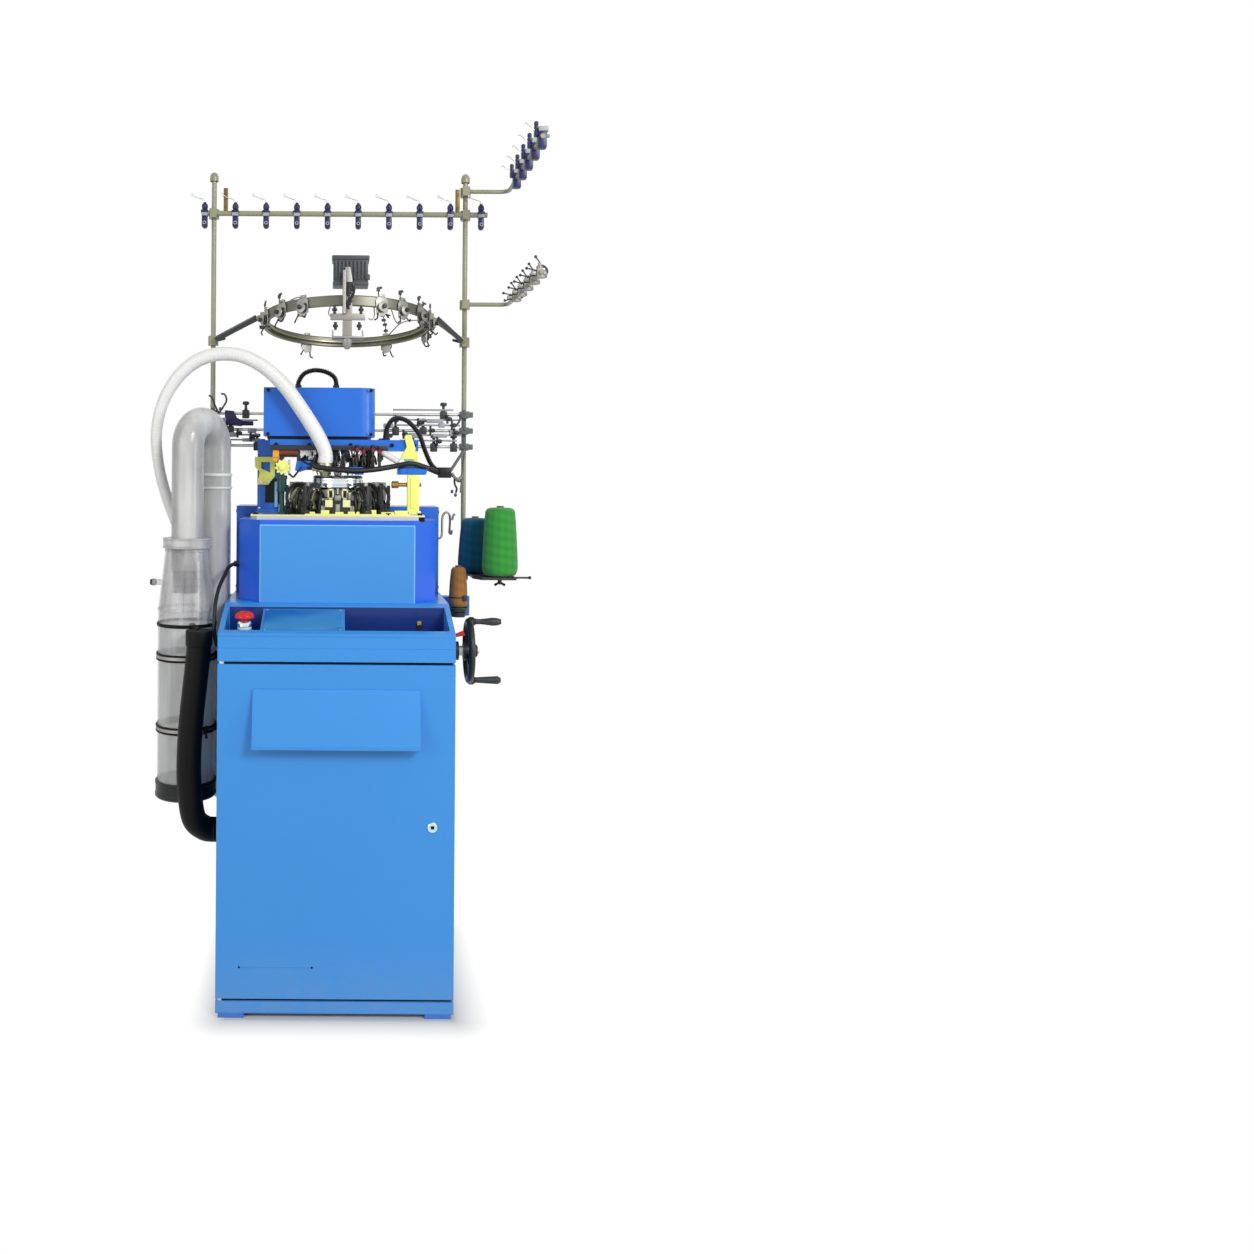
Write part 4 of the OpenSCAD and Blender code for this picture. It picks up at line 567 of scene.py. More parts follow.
# Suction hose: soft milky tube from the nozzle on the yarn fingers to the spigot of the funnel, a little
# wider where it is pressed over them.
milky = Finish("milky_hose", Roughness=0.34, Subsurface_Weight=0.25, Subsurface_Scale=0.02,
               Subsurface_Radius=(1, 1, 1), Coat_Weight=0.15)
cloud = milky.noise(6, 4)
milky_hose = milky.feed(Base_Color=milky.mix(cloud, srgb(228, 228, 225), srgb(243, 243, 241)),
                        Normal=milky.bump(milky.noise(60, 3), 0.0004, 0.4))
suction_route = [
    (-31, 221, 1222), (-31, 221, 1248), (-50, 221, 1290), (-91, 221, 1354), (-132, 221, 1409),
    (-182, 222, 1453), (-235, 225, 1478), (-290, 229, 1482), (-343, 233, 1465), (-389, 237, 1425),
    (-423, 243, 1368), (-440, 250, 1298), (-437, 258, 1224), (-421, 265, 1151), (-396, 269, 1083),
    (-374, 268, 1035), (-365, 265, 1010), (-365, 265, 989)]
suction_girths = [1.1, 1.0, 1.05, 1.06, 1.04, 1.0, 0.98, 0.98, 0.97, 0.92, 0.86, 0.80, 0.78, 0.80, 0.85, 0.92,
                  1.0, 1.06]
suction_hose = tube("suction_hose_skin", [suction_route], 17, milky_hose, stands_for=("suction_hose",),
                    ribs=0.25, pitch=7, step=1.6, sides=24, girths=suction_girths)
free(suction_route)

# Black hose: fat smooth rubber hose, pushed over the canister's outlet, that runs down beside the cabinet
# and into its wall.
rubber = Finish("black_rubber", Roughness=0.5, Specular_IOR_Level=0.14)
bloom = rubber.noise(9, 4)
black_rubber = rubber.feed(Base_Color=rubber.mix(bloom, srgb(3, 3, 4), srgb(9, 9, 10)),
                           Normal=rubber.bump(rubber.noise(300, 3), 0.0001, 0.5))
black_route = [
    (-314, 92, 822), (-314, 92, 804), (-316, 92, 775), (-323, 92, 709), (-331, 92, 631), (-335, 92, 557),
    (-335, 92, 500), (-331, 94, 446), (-323, 106, 402), (-303, 123, 378), (-286, 131, 372),
    (-275, 131, 372)]
black_hose = tube("black_hose_skin", [black_route], 28, black_rubber, stands_for=("black_hose",), ribs=0.12,
                  pitch=9, step=2.5, sides=40)
free(black_route)

# Conduits on the head: black corrugated plastic, one looped on the cover, one from the head plate to the
# feeler's plug, and a plain lead from the cover's side down to the cabinet.
top_loop = [(-100, 330, 1405), (-100, 330, 1423), (-86, 330, 1445), (-60, 330, 1454), (-32, 330, 1450),
            (-12, 330, 1438), (-6, 330, 1423), (-6, 330, 1405)]
side_loop = [(118, 290, 1279), (118, 290, 1304), (136, 290, 1332), (168, 290, 1328), (198, 290, 1296),
             (214, 291, 1254), (230, 292, 1220), (252, 293, 1201)]
lead_route = [(-236, 240, 978), (-247, 240, 978), (-261, 228, 970), (-269, 208, 952), (-279, 180, 925),
              (-284, 150, 890), (-284, 130, 850), (-282, 124, 820), (-277, 122, 802), (-269, 122, 795),
              (-262, 122, 795)]
top_conduit = tube("top_conduit", [top_loop], 5.8, black_plastic, stands_for=("cables",), ribs=0.9, pitch=4.2,
                   step=0.7, sides=16)
free(top_loop)
side_conduit = tube("side_conduit", [side_loop], 5.8, black_plastic, ribs=0.9, pitch=4.2, step=0.7, sides=16)
free(side_loop)
lead = tube("cover_lead", [lead_route], 4.5, black_plastic, step=3)
free(lead_route)
glands = bmesh.new()
for place, axis in ((top_loop[0], upward), (top_loop[-1], upward), (side_loop[0], upward),
                    (lead_route[0], to_left)):
    turned(glands, [(4.6, 0), (9.5, 0), (9.5, 5), (8, 6), (8, 11), (7, 13), (4.6, 13)], at(*place), axis, 6)
block(glands, (246, 282, 1188), (278, 304, 1214), 1.5)
block(glands, (250, 279, 1192), (274, 282.5, 1210), 0.8)
piece("conduit_glands", glands, black_plastic)


# Copies: the tree sets a copy of one small piece on every point of a mesh, each with its own turn and size,
# for screws, needles, guides and whatever else repeats.
def copies_tree():
    tree = bpy.data.node_groups.new("copies_on_points", "GeometryNodeTree")
    for name, kind in (("Points", "Geometry"), ("Copy", "Object"), ("Finish", "Material")):
        tree.interface.new_socket(name, in_out="INPUT", socket_type="NodeSocket" + kind)
    tree.interface.new_socket("Copies", in_out="OUTPUT", socket_type="NodeSocketGeometry")
    t = Tree(tree)
    group = tree.nodes.new("NodeGroupInput")
    given = {s.name: Value(t, s) for s in group.outputs if s.name}
    turn = t.node("GeometryNodeInputNamedAttribute", {"Name": "turn"}, data_type="FLOAT_VECTOR")
    size = t.node("GeometryNodeInputNamedAttribute", {"Name": "size"}, data_type="FLOAT_VECTOR")
    copy = t.node("GeometryNodeObjectInfo", {"Object": given["Copy"]}, out="Geometry")
    many = t.node("GeometryNodeInstanceOnPoints",
                  {"Points": given["Points"], "Instance": copy, "Scale": size,
                   "Rotation": t.node("FunctionNodeEulerToRotation", {"Euler": turn})})
    real = t.node("GeometryNodeRealizeInstances", {0: many})
    painted = t.node("GeometryNodeSetMaterial", {"Geometry": real, "Material": given["Finish"]})
    tree.links.new(painted.socket, tree.nodes.new("NodeGroupOutput").inputs[0])
    return tree


copies_on_points = copies_tree()


def copies(name, shape, finish, places, body="machine", stands_for=()):
    # places: (point in the fitter's millimetres, rotation matrix, size), the copy drawn round the origin
    bmesh.ops.recalc_face_normals(shape, faces=shape.faces)
    small = bpy.data.meshes.new(name)
    shape.to_mesh(small)
    shape.free()
    copy = bpy.data.objects.new("copy", small)
    scene.collection.objects.link(copy)
    mesh = bpy.data.meshes.new(name)
    mesh.from_pydata([at(*point) for point, turn, size in places], [], [])
    for key, rows in (("turn", [turn.to_euler() for point, turn, size in places]),
                      ("size", [(size,) * 3 for point, turn, size in places])):
        values = [value for row in rows for value in row]
        mesh.attributes.new(key, "FLOAT_VECTOR", "POINT").data.foreach_set("vector", values)
    result = grown(mesh, copies_on_points, copy=copy, finish=finish)
    bpy.data.objects.remove(copy)
    settle(name, result, None, body, stands_for)


# Screws: socket heads of black or bright steel, each with its recess, that hold the sheet covers, the bed
# plate, the head plate and the column.
black_screw = metal("black_screw", srgb(44, 44, 46), 0.34)
# near-black moulding that fills holes, windows and gaps as painted shade
dark_recess = moulding("dark_recess", srgb(10, 10, 11), 0.7)


def screws(name, places, radius, head, finish):
    # places: (x, y, z, way it faces)
    shape = bmesh.new()
    turned(shape, [(radius, -0.3 * head), (radius, 0.85 * head), (radius * 0.88, head), (radius * 0.52, head),
                   (radius * 0.46, head * 0.9), (radius * 0.46, head * 0.3), (0, head * 0.3)],
           (0, 0, 0), steps=18)
    copies(name, shape, finish, [(p[:3], frame_of(p[3]), 1.0) for p in places])


screws("cover_screws", [(x, 247, z, to_front) for x in (-170, 79) for z in (1292, 1398)]
       + [(side * 236, y, z, (side, 0, 0)) for side in (-1, 1) for y in (250, 360) for z in (905, 1075)]
       + [(side * 257, y, z, (side, 0, 0)) for side in (-1, 1) for y in (400, 484) for z in (908, 1100)]
       + [(x, 498, z, to_back) for x in (-245, 0, 245) for z in (908, 1100)]
       + [(x, 500, z, to_back) for x in (-250, -90, 90, 250) for z in (30, 420, 800)],
       4.2, 2.2, black_screw)
bed_top = round(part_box("bed_plate")[1].z * 1000, 1)
screws("bed_screws", [(side * x, y, bed_top, upward) for side in (-1, 1)
                      for x, y in ((196, 204), (196, 372), (120, 192))]
       + [(x, 196, 1093, upward) for x in (-60, 60)], 6, 5, black_screw)
screws("plate_screws", [(x, 244, 1266, to_front) for x in (-150, -70, 30, 130, 184)]
       + [(x, 252, 1279, upward) for x in (104, 176)] + [(x, 340, 1279, upward) for x in (104, 176)]
       + [(x, 382, 1279, upward) for x in (-190, 40)], 5, 4, black_screw)
screws("column_screws", [(-194, 318, 1109, upward), (-136, 318, 1109, upward),
                         (-190, 312, 1174, to_front), (-172, 312, 1176, to_front),
                         (172, 240, 1102, upward), (193, 240, 1102, upward)], 4.5, 3.5, ground_steel)

# Lock and the holes of the door: a bright rim with a square key hole and two holes, all three filled
# with near-black as painted shade, and between the holes the weld line of the stiffener that shows
# through the paint.
lock = bmesh.new()
turned(lock, [(8, -3.4), (9.2, -3.4), (10.6, -2.6), (11.4, -0.6), (11.4, 0), (10.2, 0)],
       at(213, 0, 421), to_back, 36)
piece("lock_rim", lock, bright_plate, "door")
key_hole = bmesh.new()
block(key_hole, (209.2, 1.2, 417.2), (216.8, 2.4, 424.8), 0.3)
piece("key_hole", key_hole, dark_recess, "lock")
seam = bmesh.new()
block(seam, (-208, -0.35, 110.2), (-52, 0.2, 111.6), 0.3)
piece("door_seam", seam, cabinet_blue, "door")
# darker blue strips behind the slits above and below the door are painted shade in the slits
slit_shade = bmesh.new()
for z in (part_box("door")[1].z * 1000 + 0.8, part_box("door")[0].z * 1000 - 5.2):
    block(slit_shade, (-252, 7, z), (252, 15, z + 4.4), 0.6)
piece("door_seals", slit_shade, paint("seal_blue_paint", srgb(22, 72, 158), dust=False))
hole_shade = bmesh.new()
for x in (-210, -50):
    turned(hole_shade, [(2.4, 1.2), (2.4, 3), (0, 3)], at(x, 0, 111), to_back, 20)
piece("door_holes", hole_shade, dark_recess, "door")

# Gaps of the cabinet: rubber edging in the slits above and below the door, and folded drip edges on the
# console and the base rail.
edging = bmesh.new()
for z in (780, 39):
    block(edging, (-256, 6, z - 2.2), (256, 17, z + 2.2), 0.8)
piece("door_edging", edging, black_rubber)
folds = bmesh.new()
for z in (838, 12):
    block(folds, (-261.5, -0.6 if z == 12 else 0.2, z), (261.5, 1.2, z + 3), 0.6)
piece("drip_folds", folds, cabinet_blue)


# Control panel in the console: a pale blue pane with bevelled edges on the sloping housing, held by four
# screws, and in the right recess a black spring bolt with a brass tip.
def on_slope(x, y, lift):
    # a point on the panel housing, lifted off its face
    return (x, y, 839 + y * console_rise + lift)


gloss = Finish("panel_pane", Roughness=0.3, Coat_Weight=0.1, Coat_Roughness=0.1, Specular_IOR_Level=0.3)
streak = gloss.noise(5, 2, (1, 3, 1))
tint = gloss.mix(gloss.band(streak, 0.42, 0.6), srgb(26, 100, 176), srgb(58, 134, 194))
pane_gloss = gloss.feed(Base_Color=tint)
pane = bmesh.new()
corners = [(-166, 26), (13, 26), (13, 140), (-166, 140)]
low = [pane.verts.new(at(*on_slope(x, y, 0.1))) for x, y in corners]
high = [pane.verts.new(at(*on_slope(x + (2 if x < 0 else -2), y + (2 if y < 80 else -2), 1.6)))
        for x, y in corners]
for i in range(4):
    pane.faces.new([low[i], low[(i + 1) % 4], high[(i + 1) % 4], high[i]])
pane.faces.new(high)
pane.faces.new(low[::-1])
piece("panel_pane", pane, pane_gloss)
screws("panel_screws", [(*on_slope(x, y, 1.5), (0, -console_rise, 1))
                        for x in (-161, 8) for y in (31, 135)], 2.6, 1.2, ground_steel)
bolt = bmesh.new()
turned(bolt, [(0, 0), (11, 0), (11, 6), (8, 7), (8, 24), (6.5, 25), (6.5, 34), (0, 34)], at(186, 70, 822),
       steps=24)
piece("recess_bolt", bolt, black_plastic)
tip = bmesh.new()
turned(tip, [(0, 33.5), (5, 33.5), (6, 35), (6, 41), (4.5, 43), (0, 43)], at(186, 70, 822), steps=24)
piece("recess_bolt_tip", tip, brass)


# Emergency stop: the red mushroom has a fine ridge round its foot, the collar a bright bezel and a dark
# socket with its cable gland.
def centre_of(node):
    # the middle of a solid's box in the fitter's millimetres, to the nearest half
    low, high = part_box(node)
    away = (low + high) / 2 - at(0, 0, 0)
    return tuple(round(v * 2000) / 2 for v in away)


stop_axis = at(*centre_of("estop_collar")[:2], 0)
ridge = bmesh.new()
turned(ridge, [(18.6, 870.5), (21.3, 871.2), (21.6, 874), (21.3, 876.6), (20.4, 878), (17.2, 883.4)],
       stop_axis, steps=48)
piece("stop_ridge", ridge, red_plastic, "stop_button")
bezel = bmesh.new()
turned(bezel, [(8.3, 864.5), (13.2, 864.5), (13.8, 863.6), (16.6, 859.4), (16.8, 853), (16.2, 852)],
       stop_axis, steps=48)
for k in range(3):
    turned(bezel, [(16.1, 846.5 - 4 * k), (16.9, 846 - 4 * k), (16.9, 844.5 - 4 * k), (16.1, 844 - 4 * k)],
           stop_axis, steps=48)
piece("stop_bezel", bezel, bright_plate)
socket = bmesh.new()
turned(socket, [(18.2, 843.5), (20.5, 843), (22, 838), (22, 823), (18, 822.1)], stop_axis, steps=32)
block(socket, (-196, 66, 822), (-180, 84, 836), 1.2)
piece("stop_socket", socket, black_plastic)


# Sock duct: clear plastic tube gone milky, with light and dark streaks down it that are painted highlights
# and painted shade. A grey net sleeve inside the funnel slows the socks.
def clear(name, dark, light, alpha, rough, scale=26):
    finish = Finish(name, Coat_Weight=0.35, Coat_Roughness=0.06, IOR=1.45)
    streak = finish.noise(scale, 3, (1, 1, 0.10))
    cloud = finish.noise(6, 4)
    # the streaks mix the dark and light colours: painted shade and painted highlights down the plastic
    tone = finish.mix(finish.band(streak * 0.75 + cloud * 0.25, 0.36, 0.64), dark, light)
    return finish.feed(Base_Color=tone, Roughness=rough + cloud * 0.12,
                       Alpha=alpha + finish.band(streak, 0.4, 0.62) * 0.12,
                       Normal=finish.bump(streak, 0.0006, 0.25))


milky_duct = clear("milky_duct", srgb(188, 188, 187), srgb(232, 232, 230), 0.58, 0.22)
smoky_funnel = clear("smoky_funnel", srgb(134, 134, 135), srgb(232, 232, 232), 0.26, 0.10, 34)
grey_canister = clear("grey_canister", srgb(196, 197, 197), srgb(226, 227, 227), 0.40, 0.16)
dress(milky_duct, "air_duct", "duct_collar")
dress(smoky_funnel, "funnel")
dress(grey_canister, "canister")
canister_at = centre_of("canister")[:2]
canister_axis = at(*canister_at, 0)
net = casting("net_sleeve", srgb(150, 150, 151), 0.6)
sleeve = bmesh.new()
turned(sleeve, [(34, 1017), (34, 918), (36, 914), (33, 914), (32, 1017)], canister_axis, steps=40)
for z in range(930, 1012, 16):
    turned(sleeve, [(34, z), (35, z + 2), (34, z + 4)], canister_axis, steps=40)
piece("net_sleeve", sleeve, net)

# Rims of the duct, the collar, the funnel and the canister: rolled beads, the joint sleeve's lips, a moulding
# seam down the funnel, and the rubber nipple on its side.
duct_axis = at(-302, 300, 0)
rims = bmesh.new()
turned(rims, [(38.8, 1156), (41.4, 1158), (41.8, 1161), (40.6, 1163)], duct_axis, steps=48)
turned(rims, [(40.6, 1188), (41.8, 1190), (41.4, 1194), (38.4, 1196)], duct_axis, steps=48)
piece("duct_rims", rims, white_plastic)
lips = bmesh.new()
for low in (1019, 1037):
    turned(lips, [(56.6, low), (58.6, low + 1.5), (58.6, low + 4.5), (56.6, low + 6)], canister_axis,
           steps=48)
piece("collar_lips", lips, smoky_funnel)
beads = bmesh.new()
turned(beads, [(51.4, 1010), (53.6, 1012), (53.6, 1015), (51.6, 1017)], canister_axis, steps=48)
turned(beads, [(67.2, 872), (69, 874), (68.6, 878), (66.6, 880)], canister_axis, steps=48)
bar(beads, (-356, 126, 876), (-356, 143, 1010), 1.6, 8)
for x in (-434, -430):
    turned(beads, [(7, 0), (9, 0), (9, 4), (7, 5)], at(x, 194, 937), to_left, 20)
piece("funnel_beads", beads, smoky_funnel)
tip = bmesh.new()
turned(tip, [(3, -6), (6.5, -6), (7.6, -2), (7.6, 3), (6, 5), (6, 8), (3, 8)], at(-437, 194, 937),
       to_right, 20)
piece("funnel_nipple", tip, black_rubber)

# Fittings of the canister: two black rubber bands with arms to the cabinet, a worm clamp round each and a
# wing nut on the lower one, the thin seal under the funnel with the outlet of the black hose, and the open
# cap with its draining stub.
band_heights = (765, 597)
bands = bmesh.new()
for z in band_heights:
    turned(bands, [(67.8, z - 8), (70.5, z - 8.6), (71.6, z - 7), (71.6, z - 5), (70.4, z - 4.4),
                   (70.4, z + 4.4), (71.6, z + 5), (71.6, z + 7), (70.5, z + 8.6), (67.8, z + 8),
                   (67.8, z - 8)], canister_axis, steps=64)
    block(bands, (-290, 186, z - 8), (-263, 202, z + 8), 1.4)
    block(bands, (-276, 178, z - 7), (-269, 210, z + 7), 1.2)
turned(bands, [(67.8, 836), (69.6, 836), (70.6, 837.6), (70.6, 842.4), (69.6, 844), (67.8, 844), (67.8, 836)],
       canister_axis, steps=64)
turned(bands, [(28.2, 803), (30.4, 804), (30.8, 806), (30.8, 835), (29.6, 838), (0, 838)], at(-314, 92, 0),
       steps=40)
bar(bands, (-338, 150, 839), (-318, 102, 832), 9, 14)
piece("canister_bands", bands, black_rubber, stands_for=("canister_rings",))
cap = bmesh.new()
turned(cap, [(67.8, 474), (70.4, 474), (72, 472), (72, 466), (70.8, 464.6), (70.8, 446), (72, 444), (72, 438),
             (69, 434), (60, 432), (13, 430), (12.4, 426), (12.4, 406), (13.4, 405), (13.4, 399), (8.6, 398),
             (8.6, 428), (12, 438), (66, 441), (67.8, 444), (67.8, 474)], canister_axis, steps=64)
piece("canister_cap", cap, black_plastic)
clamps = bmesh.new()
for z in band_heights:
    turned(clamps, [(70.4, z - 3.6), (71.2, z - 3.6), (71.2, z + 3.6), (70.4, z + 3.6)], canister_axis,
           steps=64)
    block(clamps, (-8, -76, -6), (8, -70.5, 6), 1.2, about((*canister_at, z), 28))
    bar(clamps, (-330, 124, z), (-308, 135, z), 3.4, 10)
piece("canister_clamps", clamps, dull_steel)
wing = bmesh.new()
turned(wing, [(0, 0), (6, 0), (6, 6), (4, 9), (0, 9)], at(-304, 136, 597), (0.5, -0.86, 0), 16)
for side in (-1, 1):
    bar(wing, (-302, 132, 597 + side * 3), (-299, 126, 597 + side * 14), 2.4, 8, 3.6)
piece("canister_wing_nut", wing, black_screw)


# Yarn packages: yarn wound crosswise on a paper core, with strands that run round both ways and shoulders
# and a foot that the windings leave round.
def yarn(name, centre, colour):
    finish = Finish(name, Roughness=0.8, Sheen_Weight=0.25, Specular_IOR_Level=0.2)
    axis, lead = at(*centre, 0), 0.0024
    x, y, z = (finish.coordinate(i) - axis[i] for i in range(3))
    angle = finish.node("ShaderNodeMath", {0: y, 1: x}, operation="ARCTAN2")
    rising = finish.sine(z / lead * (2 * math.pi) + angle * 7)
    falling = finish.sine(z / lead * (2 * math.pi) - angle * 7)
    strands = finish.sum("MAXIMUM", rising, falling) * 0.5 + 0.5
    layers = finish.sine(z / (lead * 9) * (2 * math.pi) + angle * 2) * 0.5 + 0.5
    fuzz = finish.noise(900, 2)
    tone = finish.mix(strands * 0.55 + layers * 0.2 + fuzz * 0.25, shade(colour, 0.5), shade(colour, 1.25))
    return finish.feed(Base_Color=tone, Normal=finish.bump(strands + fuzz * 0.6, 0.0006, 0.7))


def package(name, centre, foot, top, foot_r, top_r, core_r, finish, stands_for):
    shape, straight, bulge = bmesh.new(), top - foot - 40, 0.8
    profile = [(core_r + 1, foot + 2.5), (foot_r * 0.6, foot + 1), (foot_r * 0.86, foot + 4),
               (foot_r * 0.965, foot + 12), (foot_r, foot + 24)]
    profile += [(foot_r + (top_r - foot_r) * t + math.sin(math.pi * t) * bulge, foot + 24 + straight * t)
                for t in (0.2, 0.4, 0.6, 0.8, 1.0)]
    profile += [(top_r * 0.97, top - 10), (top_r * 0.88, top - 5), (top_r * 0.7, top - 2),
                (core_r + 1, top - 1)]
    turned(shape, profile, at(*centre, 0), steps=64)
    piece(name, shape, finish, stands_for=stands_for, smooth=60)
    core = bmesh.new()
    turned(core, [(core_r + 1.2, foot), (core_r + 1.2, foot + 2.6), (core_r - 1, foot + 3), (core_r - 1, top),
                  (core_r, top + 2.5), (core_r - 2, top + 2.8), (core_r - 2.4, top - 20)],
           at(*centre, 0), steps=32)
    piece(name + "_core", core, paper_core)


paper = Finish("paper_core", Roughness=0.8)
paper_core = paper.feed(Base_Color=paper.mix(paper.noise(120, 4), srgb(96, 88, 74), srgb(140, 130, 112)))
green_at, teal_at, brown_at = (centre_of(node)[:2] for node in ("green_cone", "teal_cone", "orange_cone"))
for name, node, centre, foot, top, foot_r, top_r, core_r, colour in (
        ("green_yarn", "green_cone", green_at, 946, 1117, 44, 37, 9.5, srgb(54, 150, 56)),
        ("teal_yarn", "teal_cone", teal_at, 946, 1087, 44, 36, 9.5, srgb(12, 100, 122)),
        ("brown_yarn", "orange_cone", brown_at, 864.5, 967, 23, 19, 8.5, srgb(164, 112, 56))):
    package(name + "_package", centre, foot, top, foot_r, top_r, core_r, yarn(name, centre, colour), (node,))

# Tray of the packages: dark casting with a rolled rim, a wing nut under it, the wire's ball tip, a dark band
# and a spring clip on the small package, and the lip of its cup.
tray = bmesh.new()
slim = [(352, 262), (436, 262), (436, 330), (396, 440)]
for (x0, y0), (x1, y1) in zip(slim, slim[1:]):
    bar(tray, (x0, y0, 944.5), (x1, y1, 944.5), 2.2, 8)
for centre in (green_at, teal_at):
    turned(tray, [(34, 945.6), (36, 946.6), (33, 946.8), (12, 946.8), (8, 949)], at(*centre, 0), steps=40)
bar(tray, (*green_at, 940), (*green_at, 926), 6, 16, 4)
nut_x, nut_y = green_at
for side in (-1, 1):
    bar(tray, (nut_x + side * 3, nut_y, 930), (nut_x + side * 13, nut_y, 924), 2.6, 10, 3.6)
turned(tray, [(0, -4), (3.4, -3), (4.6, 0), (3.4, 3), (0, 4)], at(475, 300, 943), to_right, 16)
piece("tray_fittings", tray, black_casting)
clip = bmesh.new()
turned(clip, [(22.6, 889), (23.4, 889.5), (23.4, 893), (22.4, 893.5)], at(*brown_at, 0), steps=40)
turned(clip, [(24.6, 862), (25.8, 863.5), (25.6, 866), (22.4, 866), (21.6, 862)], at(*brown_at, 0), steps=40)
block(clip, (312, 304, 884), (322, 309, 898), 0.8)
for z in (846, 851, 856):
    turned(clip, [(17.2, z), (19.6, z + 0.6), (19.6, z + 1.8), (17.4, z + 2.4)], at(*brown_at, 0), steps=32)
piece("cup_fittings", clip, dark_grey_plastic)

# Handwheel: hub with a cap nut and a key, ribs on the spokes, knuckles where the handles' pins are riveted,
# and a red lever beside it on the console.
wheel_y, wheel_z = centre_of("handwheel")[1:]
wheel_end = at(335, wheel_y, wheel_z)
wheel = bmesh.new()
turned(wheel, [(21.2, 4), (19, 6), (15, 7), (15, 10), (12, 12), (0, 12)], wheel_end, to_right, 32)
for k in range(3):
    turn = Matrix.Rotation(math.radians(120 * k), 4, "X")
    tip = turn @ Vector((0, 0, 66))
    bar(wheel, (326, wheel_y, wheel_z), (333, wheel_y + tip.y * 0.92, wheel_z + tip.z * 0.92), 4.6, 10, 2.8)
grip_heights = {"upper_grip": centre_of("upper_handle")[2], "lower_grip": centre_of("lower_handle")[2]}
for z in grip_heights.values():
    turned(wheel, [(10.4, -1), (11.4, 1), (11.4, 10), (9, 12.6), (7.4, 12.8)], at(326, wheel_y, z), to_right,
           24)
    turned(wheel, [(0, 0), (5.6, 0), (6.6, -1.5), (5.6, -3), (0, -3.4)], at(401.5, wheel_y, z), to_left, 20)
piece("wheel_fittings", wheel, black_casting, "wheel")
key = bmesh.new()
turned(key, [(0, 11.5), (8, 11.5), (8, 15), (6.5, 16.5), (0, 16.5)], wheel_end, to_right, 6)
piece("wheel_nut", key, ground_steel, "wheel")
for body, z in grip_heights.items():
    grip = bmesh.new()
    for x in (341, 398):
        turned(grip, [(6.4, -1.4), (7.8, -0.8), (7.8, 0.8), (6.4, 1.4)], at(x, wheel_y, z), to_right, 24)
    piece(body + "_rings", grip, black_plastic, body)
lever = bmesh.new()
bar(lever, (262.5, 180, 812), (284, 180, 818), 3.6, 12)
turned(lever, [(0, 0), (8, 0), (8, 3), (6, 5), (3.8, 6)], at(262.2, 180, 812), to_right, 20)
piece("console_lever", lever, black_screw)
grip = bmesh.new()
bar(grip, (280, 180, 817), (300, 180, 823), 4.4, 16, 6.2)
piece("console_lever_grip", grip, red_plastic)


# Needles: one latch needle in each slot of the cylinder, a flat stem with its butt, hook and open latch. The
# cams lift them in a wave round the cylinder.
def flat(shape, outline, low, high, along="y", edge=0.4):
    # a plate cut to an outline, in the fitter's millimetres: the outline lies across the named direction
    across = "xyz".index(along)
    rows = [[shape.verts.new(at(*point[:across], w, *point[across:])) for point in outline]
            for w in (low, high)]
    faces = [shape.faces.new(row) for row in rows]
    n = len(outline)
    faces += [shape.faces.new([rows[0][k], rows[0][(k + 1) % n], rows[1][(k + 1) % n], rows[1][k]])
              for k in range(n)]
    if edge:
        bmesh.ops.bevel(shape, geom=list({e for f in faces for e in f.edges}), offset=edge / 1000, segments=2,
                        profile=0.6, affect="EDGES")


def loose(shape):
    # moves a piece drawn round the fitter's origin to the world's
    bmesh.ops.translate(shape, vec=-at(0, 0, 0), verts=shape.verts)
    return shape


needle_count, cylinder_at = 84, (*centre_of("needle_cylinder")[:2], 0)
needle_pitch = 360 / needle_count


def swung(points, degrees):
    # a route drawn round the origin, turned about the axis of the cylinder
    return [tuple(spun(degrees, 3) @ Vector(p) + Vector(cylinder_at)) for p in points]


def on_circle(radius, degrees, height):
    return swung([(radius, 0, height)], degrees)[0]


needle = bmesh.new()
flat(needle, [(-0.8, -56), (0.8, -56), (0.8, -34), (1.1, -33), (1.1, -29), (0.8, -28), (0.7, 2), (1.3, 4),
              (2.4, 4.6), (3, 3.4), (3.4, 4), (2.6, 5.8), (0.8, 5.6), (-0.2, 3), (-0.8, 0)],
     -0.35, 0.35, edge=0)
flat(needle, [(0.6, -1), (3.6, -4.4), (3.9, -3.9), (1, -0.2)], -0.2, 0.2, edge=0)
waves = []
for k in range(needle_count):
    angle = (k + 0.72) * needle_pitch
    lift = 9 * max(0.0, math.sin(math.radians(angle * 2) + 0.4)) ** 2
    waves.append((on_circle(46.6, angle, 1161 + lift), spun(angle), 1.0))
copies("latch_needles", loose(needle), bright_plate, waves, "cylinder")

# Sinker ring: bright cap with a rounded edge and a bead under it, a sinker in each groove, and the screws of
# its cams. In its middle stand the stepped hub and the ribs of the dial.
sinker = bmesh.new()
flat(sinker, [(-12, 0), (0, 0), (0, 2.2), (-3, 2.2), (-3.6, 4.4), (-8, 4.6), (-12, 3)], -0.4, 0.4, edge=0)
copies("sinkers", loose(sinker), drawn_aluminium,
       [(on_circle(61, k * needle_pitch, 1187.6), spun(k * needle_pitch), 1.0) for k in range(needle_count)])
cap = bmesh.new()
turned(cap, [(50, 1188.6), (52, 1190.2), (57, 1190.2), (60, 1188.4), (62.3, 1185), (62.6, 1180),
             (62.2, 1178.4)], at(*cylinder_at), steps=72)
turned(cap, [(62.2, 1170), (63.2, 1169), (63.2, 1164.5), (62.2, 1163.5)], at(*cylinder_at), steps=72)
